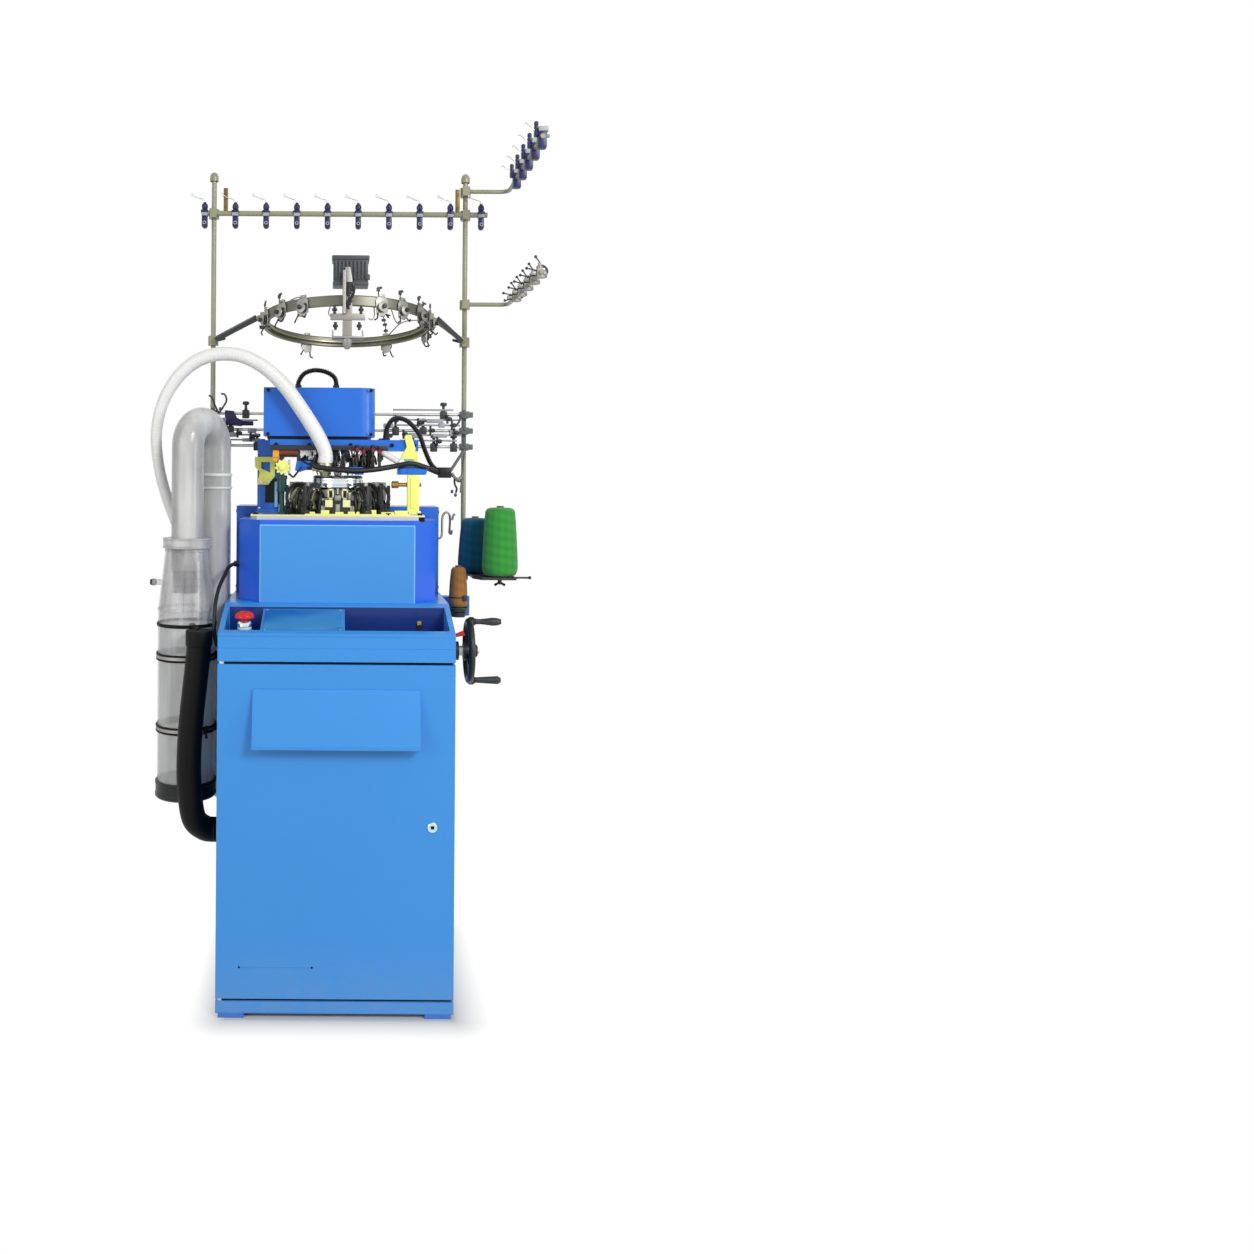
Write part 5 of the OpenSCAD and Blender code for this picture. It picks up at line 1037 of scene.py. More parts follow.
piece("sinker_cap", cap, bright_plate)
screws("sinker_screws", [(*on_circle(56, a, 1190), upward) for a in range(0, 360, 45)], 2.4, 1.8,
       black_screw)
dial_cap = bmesh.new()
turned(dial_cap, [(28.4, 1169), (28.4, 1176), (26, 1179), (20, 1180), (12, 1184), (9.3, 1190), (9.3, 1204)],
       at(*cylinder_at), steps=48)
for k in range(12):
    bar(dial_cap, on_circle(30, 30 * k, 1170.5), on_circle(41, 30 * k, 1170.5), 1.5, 8)
piece("dial_cap", dial_cap, ground_steel, "dial")

# Fittings of the cam ring: cream uprights with their windows in front filled with near-black as painted
# shade, low yellow cams and stops along the front of the bed, its cream edge strip and rubber foot, and
# steel cam blocks round the ring, each held by a screw.
cream = paint("cream_paint", srgb(238, 240, 176), dust=False)
yellow = paint("gloss_yellow_paint", srgb(244, 246, 132), dust=False)
pale_blue = paint("pale_blue_paint", srgb(128, 186, 218), dust=False)
rust = paint("rust_brown_paint", srgb(124, 58, 26), dust=False)
amber = paint("amber_paint", srgb(236, 170, 52), dust=False)
uprights = bmesh.new()
for x in (-17, 17):
    for left, right, low, high in ((-7.6, -4, 1132, 1160), (4, 7.6, 1132, 1160), (-7.6, 7.6, 1156, 1160.4),
                                   (-7.6, 7.6, 1132, 1139)):
        block(uprights, (x + left, 217.2, low), (x + right, 234.6, high), 0.6)
block(uprights, (-30, 199, 1117), (-12, 206, 1134), 0.8)
block(uprights, (12, 199, 1117), (30, 206, 1134), 0.8)
piece("cam_uprights", uprights, cream)
# near-black blocks in the windows of the uprights, a painted shade
windows = bmesh.new()
for x in (-17, 17):
    block(windows, (x - 4.2, 219, 1139), (x + 4.2, 233, 1156), 0.4)
    bar(windows, (x, 216, 1147), (x, 221, 1147), 3.2, 12)
piece("cam_windows", windows, dark_recess)
low_cams = bmesh.new()
for x0, x1, y0, z1 in ((-74, -54, 197, 1106), (-40, -20, 193, 1110), (-6, 14, 192, 1106), (24, 52, 193, 1107),
                       (66, 92, 198, 1111), (104, 134, 204, 1106), (136, 168, 214, 1109)):
    block(low_cams, (x0, y0, bed_top + 0.2), (x1, y0 + 12, z1), 1)
block(low_cams, (-78, 186.5, bed_top + 0.2), (172, 190.5, 1101.6), 0.5)
piece("low_cams", low_cams, yellow)
edge_strip = bmesh.new()
block(edge_strip, (-205, 182.4, 1095.5), (205, 184.4, bed_top + 0.3), 0.5)
for side in (-1, 1):
    bar(edge_strip, (side * 190, 183.6, 1097.4), (side * 206.4, 199.4, 1097.4), 1.6, 8)
piece("bed_edge", edge_strip, cream)
foot = bmesh.new()
block(foot, (174, 183.6, 1085), (206, 206, 1094.6), 1)
piece("bed_corner_foot", foot, black_rubber)
cam_angles = [(k, 10 + 20 * k) for k in range(18) if math.sin(math.radians(10 + 20 * k)) <= 0.8]
cam_blocks = bmesh.new()
for k, angle in cam_angles:
    turn = about(cylinder_at, angle)
    block(cam_blocks, (70, -7, 1132), (94, 7, 1138 + 7 * (k % 3)), 1.2, turn)
    block(cam_blocks, (97.6, -5, 1103), (101, 5, 1120 + 4 * (k % 2)), 0.8, turn)
piece("cam_blocks", cam_blocks, dull_steel)
screws("cam_screws", [(*on_circle(82, angle, 1138 + 7 * (k % 3)), upward) for k, angle in cam_angles],
       3.2, 2.6, black_screw)


# Selector units: each a cast foot with two claw-shaped cheeks, a comb of thin blades between them that press
# on the needles' butts, a magnet block behind the comb and bent levers over it.
def claw(radius, width, start, stop, centre):
    # a curved arm as an outline: out along its outer edge and back along its inner one
    turns = [math.radians(start + (stop - start) * k / 10) for k in range(11)]
    outer = [(centre[0] + radius * math.cos(a), centre[1] + radius * math.sin(a)) for a in turns]
    inner = [(centre[0] + (radius - width * (0.5 + 0.5 * abs(math.cos(a)))) * math.cos(a),
              centre[1] + (radius - width) * math.sin(a)) for a in reversed(turns)]
    return outer + inner


def around(angles):
    return [(cylinder_at, spun(a), 1.0) for a in angles]


olive_steel = metal("olive_steel", srgb(150, 150, 122), 0.28, stain=0.5)
black_sides, steel_sides = (180, 232, 305, 0), (152, 325, 28)
cheeks = bmesh.new()
for y in (-8.5, 5.5):
    flat(cheeks, claw(36, 8, -62, 112, (94, 1139)), y, y + 3, edge=0.5)
block(cheeks, (104, -10.6, bed_top + 0.4), (130, 10.6, 1110), 1.4)
block(cheeks, (121, -5.5, 1110), (129, 5.5, 1168), 1)
bar(cheeks, (126, -10, 1122), (126, 10, 1122), 3.6, 12)
bar(cheeks, (108, -10, 1170), (108, 10, 1170), 3, 12)
copies("selector_cheeks", loose(cheeks), black_casting, around(black_sides + steel_sides),
       stands_for=("selector_units",))
blades = bmesh.new()
for k in range(7):
    z = 1136 + k * 6
    flat(blades, [(77 + abs(k - 3), -6), (90, -4.6), (114, -5), (114, 5), (90, 4.6), (77 + abs(k - 3), 6)],
         z, z + 1.8, "z", 0)
block(blades, (100, -4.6, 1132), (119, 4.6, 1176), 0.8)
copies("selector_blades", loose(blades), dull_steel, around(black_sides + steel_sides))
arms = bmesh.new()
flat(arms, claw(30, 9, -50, 80, (84, 1128)), -14, -10.4, edge=0.5)
flat(arms, claw(26, 7, -70, 60, (90, 1136)), 10.4, 14, edge=0.5)
bar(arms, (119, -15, 1133), (119, 15, 1133), 2.6, 12)
bar(arms, (112, 14, 1116), (112, 18, 1116), 5, 16)
copies("selector_arms", loose(arms), olive_steel, around((232, 305, 325, 204, 180)))
hooks = []
for angle, side, top in ((180, -7, 1160), (180, 8, 1168), (196, 0, 1150), (214, -6, 1162), (232, 9, 1156),
                         (250, -4, 1150), (290, 4, 1152), (305, -8, 1160), (318, 2, 1150), (325, 9, 1166),
                         (342, -2, 1158), (0, 7, 1164), (28, 0, 1156)):
    hooks.append(swung(((112, side, 1100), (116, side, 1116), (110, side, top - 12), (98, side * 1.1, top),
                        (86, side * 1.2, top - 8), (80, side * 1.3, top - 24)), angle))
tube("selector_levers", hooks, 2.7, black_plastic, step=3, sides=10, girths=[0.9, 1.0, 1.2, 1.4, 1.2, 0.7])

# Right post: yellow upright on a flanged foot, its blue cap plate with two more blue plates to its left, and
# a brass thumb screw with a knurled knob through it.
upright = bmesh.new()
block(upright, (168, 242, 1104), (197, 264, 1195), 1.4)
block(upright, (164, 237, bed_top + 0.2), (201, 267, 1107), 1)
block(upright, (175, 240.4, 1114), (190, 242.6, 1188), 0.8)
flat(upright, [(158, 1215), (193, 1215), (193, 1252.6), (178, 1252.6), (166, 1240)], 246, 268, "y", 1)
piece("post_upright", upright, yellow, stands_for=("right_post",))
cap_plate = bmesh.new()
flat(cap_plate, [(144, 1195.2), (212, 1195.2), (221, 1214.8), (156, 1214.8), (144, 1210)], 244, 280, "y", 1.4)
block(cap_plate, (150, 241, 1196), (164, 245, 1211), 1)
flat(cap_plate, [(-104, 1204), (-92, 1200), (-52, 1214), (-52, 1227), (-100, 1227)], 236, 246, "y", 1.2)
flat(cap_plate, [(16, 1198), (60, 1194), (66, 1206), (58, 1213), (20, 1213)], 206, 214, "y", 1.2)
piece("blue_plates", cap_plate, deep_blue)
thumb = bmesh.new()
turned(thumb, [(0, 0), (6.6, 0), (8.3, 1.4), (8.3, 16), (6.6, 17.4), (4.8, 18), (4.8, 36), (6.5, 37),
               (6.5, 44)], at(130, 253, 1171), to_right, 24)
for k in range(14):
    angle = 2 * math.pi * k / 14
    y, z = 253 + 8 * math.cos(angle), 1171 + 8 * math.sin(angle)
    bar(thumb, (131.6, y, z), (146, y, z), 0.9, 6)
turned(thumb, [(0, 0), (5.5, 0), (5.5, 4), (3.4, 5), (0, 5)], at(197.4, 253, 1171), to_right, 6)
piece("thumb_screw", thumb, brass)

# Small drives in front of the column: the rust-brown motor of the yarn fingers with its amber end cap, a
# white valve block, a toothed yellow wheel, the dark teal air cylinder and pale blue air tubes, hung on a
# black rail in front of the head plate. A yellow wedge carries the plate on the right post.
motor = bmesh.new()
turned(motor, [(0, 0), (12.4, 0), (13.8, 1.4), (13.8, 44), (12.4, 45.4), (0, 45.4)], at(-142, 258, 1250),
       to_right, 32)
for k in range(9):
    turned(motor, [(13.6, -1.1), (14.6, -0.9), (14.6, 0.9), (13.6, 1.1)], at(-135 + 4 * k, 258, 1250),
           to_right, 32)
piece("finger_motor", motor, rust, stands_for=("head_actuators",))
motor_ends = bmesh.new()
block(motor_ends, (-158, 244, 1235), (-142.4, 272, 1264.6), 2)
flat(motor_ends, [(-158, 1226), (-148, 1222), (-142, 1236), (-158, 1236)], 248, 258, "y", 1)
piece("motor_end_cap", motor_ends, amber)
wheel = bmesh.new()
teeth = [(r * math.cos(a) - 133, r * math.sin(a) + 1212) for r, a in
         (((19.5, 14.6)[k // 2 % 2], 2 * math.pi * (k + 0.5) / 40) for k in range(40))]
flat(wheel, teeth, 231, 238, "y", 0.8)
turned(wheel, [(0, 0), (7, 0), (8, -1), (8, -6), (4, -7), (0, -7)], at(-133, 231, 1212), to_back, 20)
piece("toothed_wheel", wheel, yellow)
air = bmesh.new()
turned(air, [(0, 1152), (12, 1152), (13, 1153), (13, 1158), (11.4, 1159), (11.4, 1182), (13, 1183),
             (13, 1190), (11, 1192), (4, 1192), (4, 1204), (0, 1204)], at(-135, 246, 0), steps=28)
turned(air, [(0, bed_top + 0.2), (11, bed_top + 0.2), (11, 1103), (6, 1104), (6, 1152), (0, 1152)],
       at(-135, 246, 0), steps=20)
piece("air_cylinder", air, moulding("dark_teal_paint", srgb(14, 60, 58), 0.35))
valve = bmesh.new()
for x, z, w, h in ((-94, 1238, 30, 22), (-92, 1262, 22, 8), (-72, 1230, 12, 9), (-60, 1240, 8, 14)):
    block(valve, (x, 246, z), (x + w, 264, z + h), 1.4)
for k in range(4):
    bar(valve, (-88 + 6.5 * k, 243, 1249), (-88 + 6.5 * k, 248, 1249), 2.2, 12)
bar(valve, (-118, 250, 1192), (-118, 250, 1230), 3, 12)
bar(valve, (112, 250, 1246), (146, 240, 1226), 7.5, 16)
bar(valve, (106, 250, 1250), (116, 248, 1245), 9, 16)
piece("valve_block", valve, white_plastic)
cool_tubes = bmesh.new()
bar(cool_tubes, (-153, 318, 1112), (-153, 318, 1176), 5, 14)
turned(cool_tubes, [(0, 0), (9, 0), (12, 1), (12, 4), (9, 5), (0, 5)], at(171, 244, 1234), to_front, 24)
bar(cool_tubes, (-140, 300, 1101), (-140, 300, 1120), 6, 14)
piece("air_tubes", cool_tubes, pale_blue)
rail = bmesh.new()
block(rail, (-165, 238.4, 1253), (120, 243.6, 1265), 1)
rail_blocks = ((-118, 20, 1240), (-52, 12, 1228), (-12, 26, 1238), (20, 12, 1224), (70, 18, 1240),
               (96, 14, 1230), (-100, 10, 1222))
for k, (x, w, z) in enumerate(rail_blocks):
    block(rail, (x, 246 + 6 * (k % 3), z), (x + w, 262 + 6 * (k % 3), 1253), 1.6)
for x, y, z in ((-46, 232, 1226), (-8, 228, 1222), (8, 240, 1230), (56, 246, 1236), (-70, 250, 1232)):
    bar(rail, (x, y, z - 10), (x + 6, y + 2, z + 18), 4.4, 12)
piece("plate_rail", rail, black_casting)
wedge = bmesh.new()
flat(wedge, [(148, 1232), (184, 1232), (187, 1258), (176, 1291), (163, 1292), (160, 1284), (166, 1262)],
     236.4, 241, "y", 1)
bar(wedge, (173, 238, 1252), (173, 246, 1252), 5, 14)
piece("plate_wedge", wedge, yellow)
# near-black strips in the gaps behind the column and under the head plate, a painted shade
plate_gap_shade = bmesh.new()
block(plate_gap_shade, (-180, 315.4, 1124), (-141, 317.4, 1184), 0.6)
flat(plate_gap_shade, [(-171, 256), (72, 256), (72, 384), (-171, 384)], 1279.4, 1286.6, "z", 0)
piece("dark_gaps", plate_gap_shade, dark_recess)

# Yarn fingers: an annular plate hung on three studs, and on it a block for each finger with its pin, spring
# and curved finger, whose tip lays the yarn on the needles. Small valves with red caps, the nozzle of the
# suction hose and the loom of the leads are in front.
finger_at = (196, 214, 232, 250, 278, 296, 312, 330, 345, 100, 60, 30)
plate = bmesh.new()
turned(plate, [(64, 1206), (64, 1212), (65, 1213), (97, 1213), (98, 1212), (98, 1206), (97, 1205), (65, 1205),
               (64, 1206)], at(*cylinder_at), steps=72)
for angle in (20, 160, 328):
    turned(plate, [(5.4, 1212), (5.4, 1246), (7.5, 1247), (7.5, 1252.8), (0, 1252.8)],
           at(*on_circle(86, angle, 0)), steps=16)
piece("finger_plate", plate, black_casting, stands_for=("yarn_fingers",))
fingers, finger_blocks, springs, red_caps = [], bmesh.new(), [], bmesh.new()
for k, angle in enumerate(finger_at):
    turn = about(cylinder_at, angle)
    block(finger_blocks, (70, -5.5, 1213), (92, 5.5, 1226 + 5 * (k % 3)), 1, turn)
    block(finger_blocks, (74, -2.5, 1226), (80, 2.5, 1242 + 4 * (k % 2)), 0.8, turn)
    fingers.append(swung(((97, 2, 1219), (90, 2, 1234 + 3 * (k % 3)), (76, 2, 1233), (63, 1, 1216),
                          (55, 0, 1203), (51, 0, 1193)), angle))
    springs.append(swung(((82, -4, 1230), (80, -6, 1248), (72, -8, 1254), (66, -8, 1244), (58, -6, 1222)),
                         angle))
for k, x in enumerate((30, 46, 62, 84, 100)):
    y = 236 - 3 * (k % 2)
    bar(finger_blocks, (x, y, 1214), (x, y, 1262 + 5 * (k % 2)), 3.6, 12)
    block(finger_blocks, (x - 5.5, y - 5, 1226), (x + 5.5, y + 5, 1236), 1)
    turned(red_caps, [(4.6, 0), (5.2, 1), (5.2, 9), (4, 10), (0, 10)], at(x, y, 1244 + 5 * (k % 2)), steps=14)
piece("finger_blocks", finger_blocks, black_casting)
piece("valve_caps", red_caps, moulding("dark_red_moulding", srgb(120, 26, 40), 0.4))
tube("yarn_finger_arms", fingers, 2.6, black_plastic, step=3, sides=8, girths=[1, 1.3, 1.3, 1, 0.7, 0.4])
tube("finger_springs", springs, 1.1, bright_plate, step=3, sides=6)
nozzle_axis = at(*suction_route[0][:2], 0)
nozzle = bmesh.new()
turned(nozzle, [(14, 1200.6), (19, 1200.6), (20, 1202), (20, 1219), (18.6, 1222.6), (16, 1222.6)],
       nozzle_axis, steps=32)
turned(nozzle, [(0, 1188), (9, 1188), (10, 1190), (14, 1201)], nozzle_axis, steps=32)
block(nozzle, (-62, 214, 1202), (-48, 226, 1214), 1)
piece("suction_nozzle", nozzle, olive_steel)
tube("head_loom", [[(-62, 214, 1222), (-50, 204, 1213), (-10, 200, 1207), (40, 202, 1204), (84, 214, 1207),
                    (128, 234, 1214), (176, 236, 1222), (216, 250, 1212), (240, 276, 1203),
                    (247, 292, 1202)]], 6.4, black_plastic, ribs=0.5, pitch=5, step=1.6, sides=14)
tube("small_leads", [[(30, 233, 1215), (24, 220, 1206), (10, 206, 1204)],
                     [(84, 233, 1215), (90, 222, 1208), (92, 214, 1206)],
                     [(-80, 246, 1240), (-84, 228, 1226), (-66, 214, 1218)],
                     [(-118, 250, 1196), (-108, 236, 1188), (-100, 226, 1196), (-88, 222, 1212)],
                     [(110, 250, 1250), (98, 240, 1262), (88, 236, 1258)]],
     2.4, black_plastic, step=3, sides=8)

# Yarn guides on the top bar: a navy tab with an eyelet under the bar and a pear-shaped knob over it, a grey
# clamp, and a pale spring wire with a pigtail that leans to the upper left. Two sprung brass strips stand up
# beside the posts.
wire_white = metal("pale_spring_wire", srgb(206, 206, 200), 0.35, stain=0.1)
post_x = 330
guide_x = [x for x in (-353 + 80.3 * k for k in range(10)) if abs(abs(x) - post_x) > 15]


def arc_of(radius, start, stop, centre, steps=8):
    return [(centre[0] + radius * math.cos(math.radians(start + (stop - start) * k / steps)),
             centre[1] + radius * math.sin(math.radians(start + (stop - start) * k / steps)))
            for k in range(steps + 1)]


def standing(points):
    return [(p, Matrix.Identity(4), 1.0) for p in points]


rod_depth = centre_of("cross_rods")[1]
bar_guides = standing([(x, rod_depth, 1875) for x in guide_x])
tab = bmesh.new()
flat(tab, [(-7.4, -8)] + arc_of(7.6, 180, 360, (0, -32), 10) + [(7.4, -8), (6, -4), (-6, -4)], -6, 6, edge=1)
turned(tab, [(0, 9), (5.5, 9), (7.8, 13), (8.4, 18), (7.2, 23), (4.4, 26), (3.4, 29), (0, 30)], at(0, 0, 0),
       steps=18)
block(tab, (-9.4, -11, -1), (9.4, 9.4, 8), 1.6)
copies("guide_tabs", loose(tab), navy_plastic, bar_guides, stands_for=("yarn_guides",))
clamp = bmesh.new()
block(clamp, (-8, -12, -8), (8, 10, 0.6), 1.4)
turned(clamp, [(0, -11), (3.4, -11), (3.4, -14), (2, -14.6), (0, -14.6)], at(0, -2, 0), upward, 12)
turned(clamp, [(2.6, -1.4), (4.4, -1.4), (5, 0), (4.4, 1.4), (2.6, 1.4), (2.6, -1.4)], at(0, -9, -26),
       to_back, 18)
copies("guide_clamps", loose(clamp), grey_enamel, bar_guides)
tube("guide_feelers", [[(x, 464, 1903), (x - 4, 462, 1910), (x - 12, 460, 1912), (x - 26, 458, 1917),
                        (x - 33, 457, 1925), (x - 35, 457, 1920), (x - 30, 457, 1916)] for x in guide_x],
     1.2, wire_white, step=2.5, sides=6, steps=5)
strips = bmesh.new()
for x in (-304, 302):
    block(strips, (x + 2, 462.6, 1876), (x + 9, 464.4, 1940.6), 0.4)
    for z in (1892, 1926):
        turned(strips, [(0, 0), (3.4, 0), (3.4, 1.4), (2.6, 2), (0, 2)], at(x + 6, 462.8, z), to_front, 14)
piece("sprung_strips", strips, aged_brass)

# Guides of the side arms: the upper arm carries big navy blocks with a grey clamp between, the lower arm grey
# units with two ball-ended feelers and a dark oval disc.
side_y = (-11, 74.5, 160, 245.5, 331)
upper_places = standing([(441, y, 1936) for y in side_y])
lower_places = standing([(441, y, 1641) for y in side_y])
upper = bmesh.new()
block(upper, (-10, -11, -25), (10, 12, 17), 4)
block(upper, (-17, -6, 2), (-8, 9, 27), 3)
turned(upper, [(0, 0), (4, 0), (5, 2), (5, 8), (3, 10), (0, 10)], at(-12, 2, 26), upward, 14)
copies("upper_arm_guides", loose(upper), navy_plastic, upper_places, stands_for=("side_guides",))
upper_clamps = bmesh.new()
block(upper_clamps, (-9, -14, 11), (13, 14, 22), 2)
bar(upper_clamps, (8, 0, 4), (17, 0, 4), 4.4, 12)
copies("upper_arm_clamps", loose(upper_clamps), grey_enamel, upper_places)
tube("upper_arm_feelers", [[(430, y - 4, 1946), (418, y - 4, 1956), (406, y - 4, 1966), (402, y - 4, 1964)]
                           for y in side_y], 1.1, wire_white, step=2.5, sides=6, steps=5)
lower = bmesh.new()
block(lower, (-10, -8, -13), (8, 8, 9), 2.4)
block(lower, (-22, -3, -6), (-8, 5, 3), 1.4)
turned(lower, [(0, 0), (6, 0), (7.6, 1.6), (7.6, 4), (5, 6), (3, 13), (0, 13)], at(-3, 0, 8), upward, 16)
turned(lower, [(0, -6), (9, -6), (10.4, -4.6), (10.4, 1), (9, 2), (0, 2)], at(9, 0, -2), (1, 0, 0.3), 20)
copies("lower_arm_units", loose(lower), dull_steel, lower_places)
tips = bmesh.new()
for start, end in (((-8, -4, 3), (-32, -5, 8)), ((-8, 4, -5), (-27, 4, -9)), ((0, 0, 18), (-12, -2, 34))):
    bar(tips, start, end, 1.6, 8)
    turned(tips, [(0, -3.6), (2.6, -2.6), (3.6, 0), (2.6, 2.6), (0, 3.6)], at(*end), to_right, 12)
copies("lower_arm_feelers", loose(tips), dark_grey_plastic, lower_places)
disc = bmesh.new()
turned(disc, [(0, -2.4), (11, -2.4), (13, -1), (13, 1), (11, 2.4), (0, 2.4)], at(0, 0, 0), (0.5, -1, 0.4), 24)
copies("lower_arm_discs", loose(disc), dark_grey_plastic, standing([(452, 20, 1652), (450, 331, 1648)]))

# Guide ring: a flat steel band with rolled edges and a stiffening flange inside, and the pads of its
# two arms.
tilt, ring_at, ring_radius = Matrix.Rotation(math.radians(-7), 4, "X"), centre_of("guide_ring"), 206.4


def on_ring(x, y, z):
    return tuple(tilt.to_3x3() @ Vector((x, y, z)) + Vector(ring_at))


band_steel = metal("band_steel", srgb(112, 110, 100), 0.34, (1, 1, 40), 0.5)
dress(band_steel, "guide_ring")
edges = bmesh.new()
for z in (-11.4, 11.4):
    for skin, lip, root in ((ring_radius, 207.4, 205.2), (200.6, 199.4, 201.8)):
        turned(edges, [(skin, z - 1), (lip, z), (skin, z + 1), (root, z + 1), (root, z - 1), (skin, z - 1)],
               (0, 0, 0), steps=120)
turned(edges, [(190, -3), (201.5, -3), (201.5, -1), (190, -1), (190, -3)], (0, 0, 0), steps=120)
bmesh.ops.transform(edges, matrix=Matrix.Translation(at(*ring_at)) @ tilt, verts=edges.verts)
piece("ring_edges", edges, olive_steel)
pads = bmesh.new()
turn = Matrix.Translation(at(*ring_at)) @ tilt @ Matrix.Translation(-at(0, 0, 0))
for side in (-1, 1):
    block(pads, (side * 202 - 14, -12, -14), (side * 202 + 14, 12, -10), 1, turn)
    bar(pads, (side * 318, 446, 1544), (side * 226 + 20, 320, 1582), 8.6, 4)
    bar(pads, (side * post_x, 470, 1531), (side * post_x, 470, 1553), 10.5, 20)
    bar(pads, (side * 314, 458, 1542), (side * 296, 450, 1546), 3.5, 10)
piece("ring_arm_sleeves", pads, dark_grey_plastic)

# Yarn tensioners round the ring: a bent plate, two discs pressed on a pin by a spring, a hook below, and on
# most a feeler leaf above. Two carry a tall feeler with small blocks, and loose wires run between them.
ring_angles = (200, 222, 240, 292, 308, 326, 346, 20, 60, 120)


def ring_places(angles, size=1.0):
    return [(on_ring(*(spun(a, 3) @ Vector((ring_radius, 0, 0)))), tilt @ spun(a), size) for a in angles]


plates = bmesh.new()
flat(plates, [(-13, -30), (4, -34), (15, -22), (15, 6), (8, 14), (-9, 14), (-15, 2)], 0.4, 3, "x", 0.4)
block(plates, (-4, -7, 10), (3, 7, 19), 1)
turned(plates, [(2.6, -4), (12, -1.4), (12.6, 0), (8, 1), (3, 2), (8, 3), (12.6, 4), (12, 5.4), (2.6, 8)],
       at(7, 0, -13), to_right, 22)
copies("tensioner_plates", loose(plates), dull_steel, ring_places(ring_angles),
       stands_for=("ring_tensioners",))
pins = bmesh.new()
bar(pins, (3, 0, -13), (20, 0, -13), 2.2, 10)
turned(pins, [(0, 0), (4.6, 0), (5.4, 1.4), (5.4, 5), (4.2, 6), (0, 6)], at(15, 0, -13), to_right, 14)
bar(pins, (3, -10, -26), (9, -14, -41), 1.8, 8)
bar(pins, (9, -14, -41), (4, -20, -45), 1.8, 8)
bar(pins, (3, 10, -28), (12, 12, -38), 1.8, 8)
bar(pins, (12, 12, -38), (18, 8, -34), 1.8, 8)
block(pins, (2, 3, -8), (8, 11, -2), 0.8)
copies("tensioner_pins", loose(pins), black_casting, ring_places(ring_angles))
leaves = bmesh.new()
bar(leaves, (2, -8, 10), (2, -9, 28), 1.5, 8)
block(leaves, (0, -13, 24), (4, -5, 31), 1)
flat(leaves, [(-14, 30), (-6, 28), (2, 33), (-2, 37), (-12, 34)], 1, 3, "x", 0.3)
copies("tensioner_leaves", loose(leaves), dark_grey_plastic, ring_places((200, 222, 292, 308, 326, 346)))
tall = bmesh.new()
bar(tall, (2, 0, 8), (2, 2, 44), 1.6, 8)
bar(tall, (2, 2, 44), (2, 10, 74), 1.5, 8)
for z, y in ((30, 1), (48, 4), (62, 8), (76, 11)):
    block(tall, (-1, y - 6, z - 4), (5, y + 6, z + 3), 1.2)
flat(tall, [(-14, 74), (-4, 78), (10, 86), (12, 82), (-2, 73), (-12, 70)], 1, 3, "x", 0.3)
copies("tall_feelers", loose(tall), dark_grey_plastic, ring_places((60, 20), 0.92))
ring_routes = (((-198, -20, 8), (-160, -60, 24), (-120, -120, 30), (-90, -182, 8)),
               ((110, 160, 10), (140, 110, 30), (180, 60, 24), (200, 30, 6)),
               ((60, -196, -12), (60, -214, -38), (54, -216, -48), (48, -212, -44)),
               ((100, -180, -12), (108, -196, -42), (116, -198, -52), (122, -192, -46)),
               ((-40, -202, -12), (-44, -216, -34), (-38, -218, -40)))
tube("ring_wires", [[on_ring(*point) for point in route] for route in ring_routes], 1.5, dull_steel,
     step=3, sides=6)

# Stop-motion box in front of the ring: dark ribbed moulding with a lip and a lens, on a bright folded strip
# with two shelves and a round foot.
box = bmesh.new()
block(box, (-14, 93.9, 1634), (66, 153.7, 1690), 3)
block(box, (-17, 91.6, 1686), (69, 156, 1696), 2.4)
block(box, (-15, 92.8, 1628), (67, 154.6, 1636), 2)
for k in range(9):
    block(box, (-10 + 8.6 * k, 90.4, 1640), (-6 + 8.6 * k, 95, 1683), 1.2)
block(box, (60, 88, 1640), (70, 100, 1652), 1.5)
piece("stop_motion_box", box, moulding("slate_moulding", srgb(70, 76, 80), 0.42), stands_for=("sensor_box",))
strip = bmesh.new()
flat(strip, [(8, 1500), (30, 1500), (30, 1640), (25, 1668), (14, 1668), (8, 1640)], 86.6, 89.4, "y", 0.6)
block(strip, (-20, 84, 1547), (60, 93, 1562), 1.2)
block(strip, (-16, 80, 1505), (56, 118, 1510), 1)
block(strip, (-16, 86, 1508), (-12, 92, 1524), 0.8)
block(strip, (52, 86, 1508), (56, 92, 1524), 0.8)
bar(strip, (12, 82, 1560), (12, 82, 1660), 4.5, 14)
turned(strip, [(0, 0), (5, 0), (7, 3), (11, 16), (12, 22), (10, 25), (0, 25)], at(19, 90, 1481),
       steps=20)
piece("stop_motion_bracket", strip, dull_steel)
fittings = bmesh.new()
for x, z in ((-10, 1570), (50, 1570), (-8, 1533), (46, 1533), (24, 1590), (22, 1610)):
    bar(fittings, (x, 84, z - 9), (x, 84, z + 9), 3.4, 12)
    block(fittings, (x - 6, 80, z - 3), (x + 6, 88, z + 3), 1)
block(fittings, (14, 84, 1612), (34, 92, 1634), 2)
tube("stop_motion_lead", [[(24, 88, 1632), (34, 84, 1618), (30, 82, 1600), (20, 82, 1586), (22, 84, 1572)]],
     3, black_plastic, step=3, sides=8)
piece("stop_motion_fittings", fittings, black_casting)

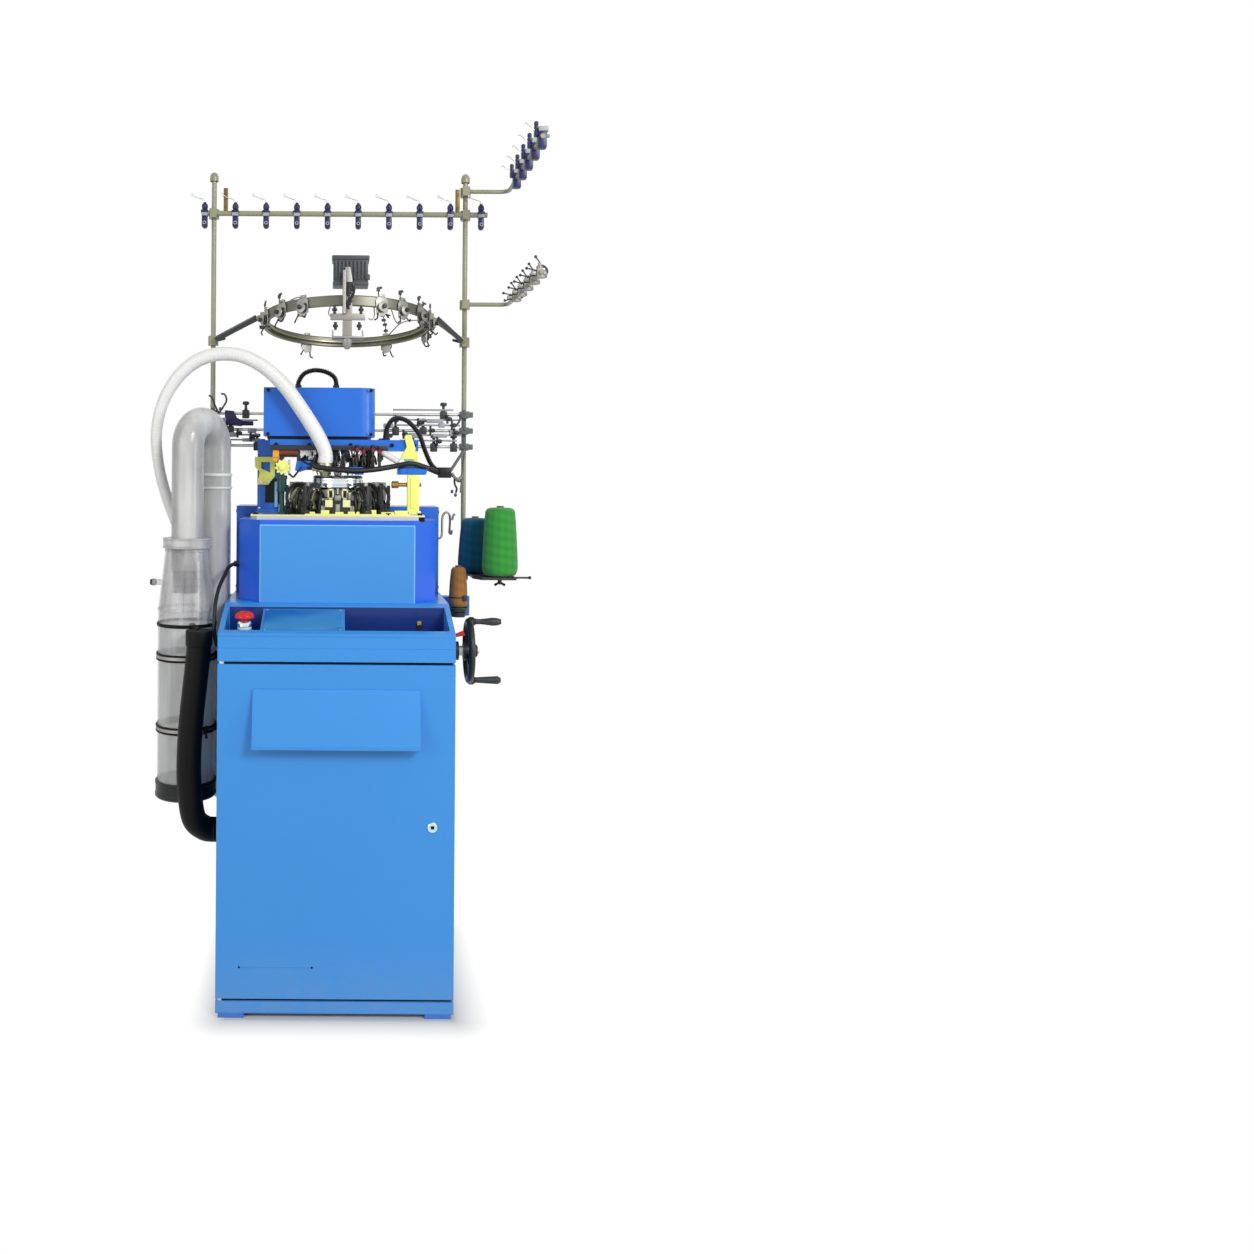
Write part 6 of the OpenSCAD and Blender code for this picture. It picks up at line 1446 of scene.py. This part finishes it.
# Cross rods behind the head: clamps on the posts, and on the rods knob-and-block units, thin sliding rods,
# spring clips, the feeler arm with its chain, and a wire hook on the housing.
low_rod, middle_rod, high_rod = 1268, 1310, 1352
hubs = bmesh.new()
for side in (-1, 1):
    for z in (low_rod, middle_rod, high_rod):
        block(hubs, (side * post_x - 12, 455, z - 9), (side * post_x + 12, 491, z + 9), 2)
        bar(hubs, (side * post_x, 452, z + 5), (side * post_x, 456, z + 5), 4, 12)
        block(hubs, (side * 344 - 8, 460, z - 7), (side * 344 + 8, 473, z + 7), 1.6)
    block(hubs, (side * post_x - 4, 470, 1254), (side * post_x + 4, 492, 1366), 1)
bar(hubs, (post_x, 458, 1262), (276, 342, 1196), 4, 12)
block(hubs, (266, 304, 1191), (280, 352, 1205), 1.6)
bar(hubs, (post_x, 458, 1258), (316, 420, 1150), 2.6, 10)
for side, x, z in ((1, 305, 1143), (1, 296, 1152), (-1, -306, 1362)):
    turned(hubs, [(0, -4), (4, -3), (5, 0), (4, 3), (0, 4)], at(x, 440, z), to_right, 12)
piece("rod_clamps", hubs, grey_casting, stands_for=("rod_units",))
unit = bmesh.new()
block(unit, (-9, -9.4, -13), (9, 9.4, 9), 2)
turned(unit, [(6, 9), (4, 11), (3.4, 21), (5, 22), (8.4, 23.4), (9, 26), (8.4, 30), (6, 31.6), (0, 31.6)],
       at(0, 0, 0), steps=18)
unit_places = ((-242, high_rod), (275, high_rod), (-282, middle_rod), (222, middle_rod), (196, low_rod),
               (-212, low_rod), (302, low_rod), (150, middle_rod), (250, low_rod))
copies("rod_knobs", loose(unit), dark_grey_plastic, standing([(x, rod_depth, z) for x, z in unit_places]))
sliders = bmesh.new()
for x0, x1, z in ((-318, -206, 1296), (-322, -196, 1283), (-300, -210, 1334), (136, 320, 1338),
                  (150, 318, 1324), (176, 322, 1298), (160, 310, 1284), (142, 300, 1364)):
    bar(sliders, (x0, 458, z), (x1, 458, z), 2.4, 10)
for x, z, w, h in ((-300, 1290, 34, 12), (-250, 1278, 46, 9), (-312, 1326, 20, 14), (118, 1316, 26, 12),
                   (230, 1330, 44, 8), (246, 1292, 38, 10), (184, 1290, 26, 14), (290, 1296, 24, 18),
                   (262, 1318, 16, 12), (-236, 1300, 22, 12), (150, 1336, 12, 16)):
    block(sliders, (x, 452, z), (x + w, 470, z + h), 2)
piece("rod_sliders", sliders, grey_enamel)
clips = bmesh.new()
for x, z in ((-290, 1276), (-262, 1300), (-228, 1290), (170, 1300), (208, 1330), (240, 1310), (284, 1340),
             (296, 1324), (258, 1282), (302, 1304), (-300, 1322), (130, 1296)):
    bar(clips, (x, 452, z - 12), (x, 452, z + 12), 3, 10)
    turned(clips, [(3, -3), (6, -3), (6, 3), (3, 3)], at(x + 6, 452, z), to_back, 14)
    block(clips, (x - 4, 449, z - 4), (x + 12, 456, z + 3), 1)
piece("rod_clips", clips, dark_grey_plastic)
navy = bmesh.new()
flat(navy, [(-296, 1322), (-252, 1318), (-250, 1334), (-268, 1340), (-272, 1358), (-296, 1360)], 455, 478,
     "y", 2)
bar(navy, (-252, 466, 1326), (-222, 466, 1326), 6, 14)
piece("navy_clamp", navy, navy_plastic)
tube("curled_wires", [[(-312, 462, 1352), (-322, 458, 1372), (-330, 456, 1392), (-338, 456, 1398)],
                      [(-312, 462, 1352), (-302, 458, 1366), (-292, 456, 1384), (-296, 456, 1400),
                       (-306, 456, 1402)],
                      [(276, 348, 1200), (296, 380, 1188), (306, 410, 1180), (316, 440, 1178),
                       (326, 458, 1184)],
                      [(296, 380, 1188), (298, 392, 1172), (304, 400, 1160), (302, 404, 1150)],
                      [(300, 452, 1318), (312, 450, 1330), (318, 450, 1344), (312, 450, 1352)]],
     2.6, dark_grey_plastic, step=3, sides=8)
links = bmesh.new()
turned(links, [(0, 0), (3.4, 0), (4, 1.4), (4, 5), (3.4, 6), (0, 6)], at(0, 0, 0), steps=12)
copies("feeler_chain", loose(links), dull_steel,
       [((282 + 5 * k, 316 + 16 * k, 1196 - 13 * math.sin(math.pi * k / 8)), frame_of((1, 0, 0.4)), 1.0)
        for k in range(9)])
tube("housing_hook", [[(257, 405, 1032), (264, 408, 1034), (268, 412, 1044), (269, 418, 1080),
                       (273, 420, 1094), (280, 421, 1099), (287, 422, 1094), (290, 426, 1080),
                       (289, 432, 1044)],
                      [(289, 432, 1046), (294, 434, 1042), (296, 435, 1052)],
                      [(296, 430, 1078), (299, 430, 1090), (303, 430, 1094)]],
     2.9, dull_steel, step=3, sides=8)

# Caps of the posts: a sheet cap with a rounded crown, painted with the post, is pressed over the pointed end
# of each tube.
cap_height, post_depth = 24, centre_of("creel_posts")[1]
cap_foot = round(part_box("creel_posts")[1].z * 1000, 1) - cap_height
caps = bmesh.new()
for x in (-post_x, post_x):
    turned(caps, [(10.5, 0), (11.5, 1), (11.5, 9), (11, 14), (9.4, 18.4), (7, 21.4), (4, 23.2),
                  (0, cap_height)], at(x, post_depth, cap_foot), steps=28)
piece("post_caps", caps, olive_lacquer)
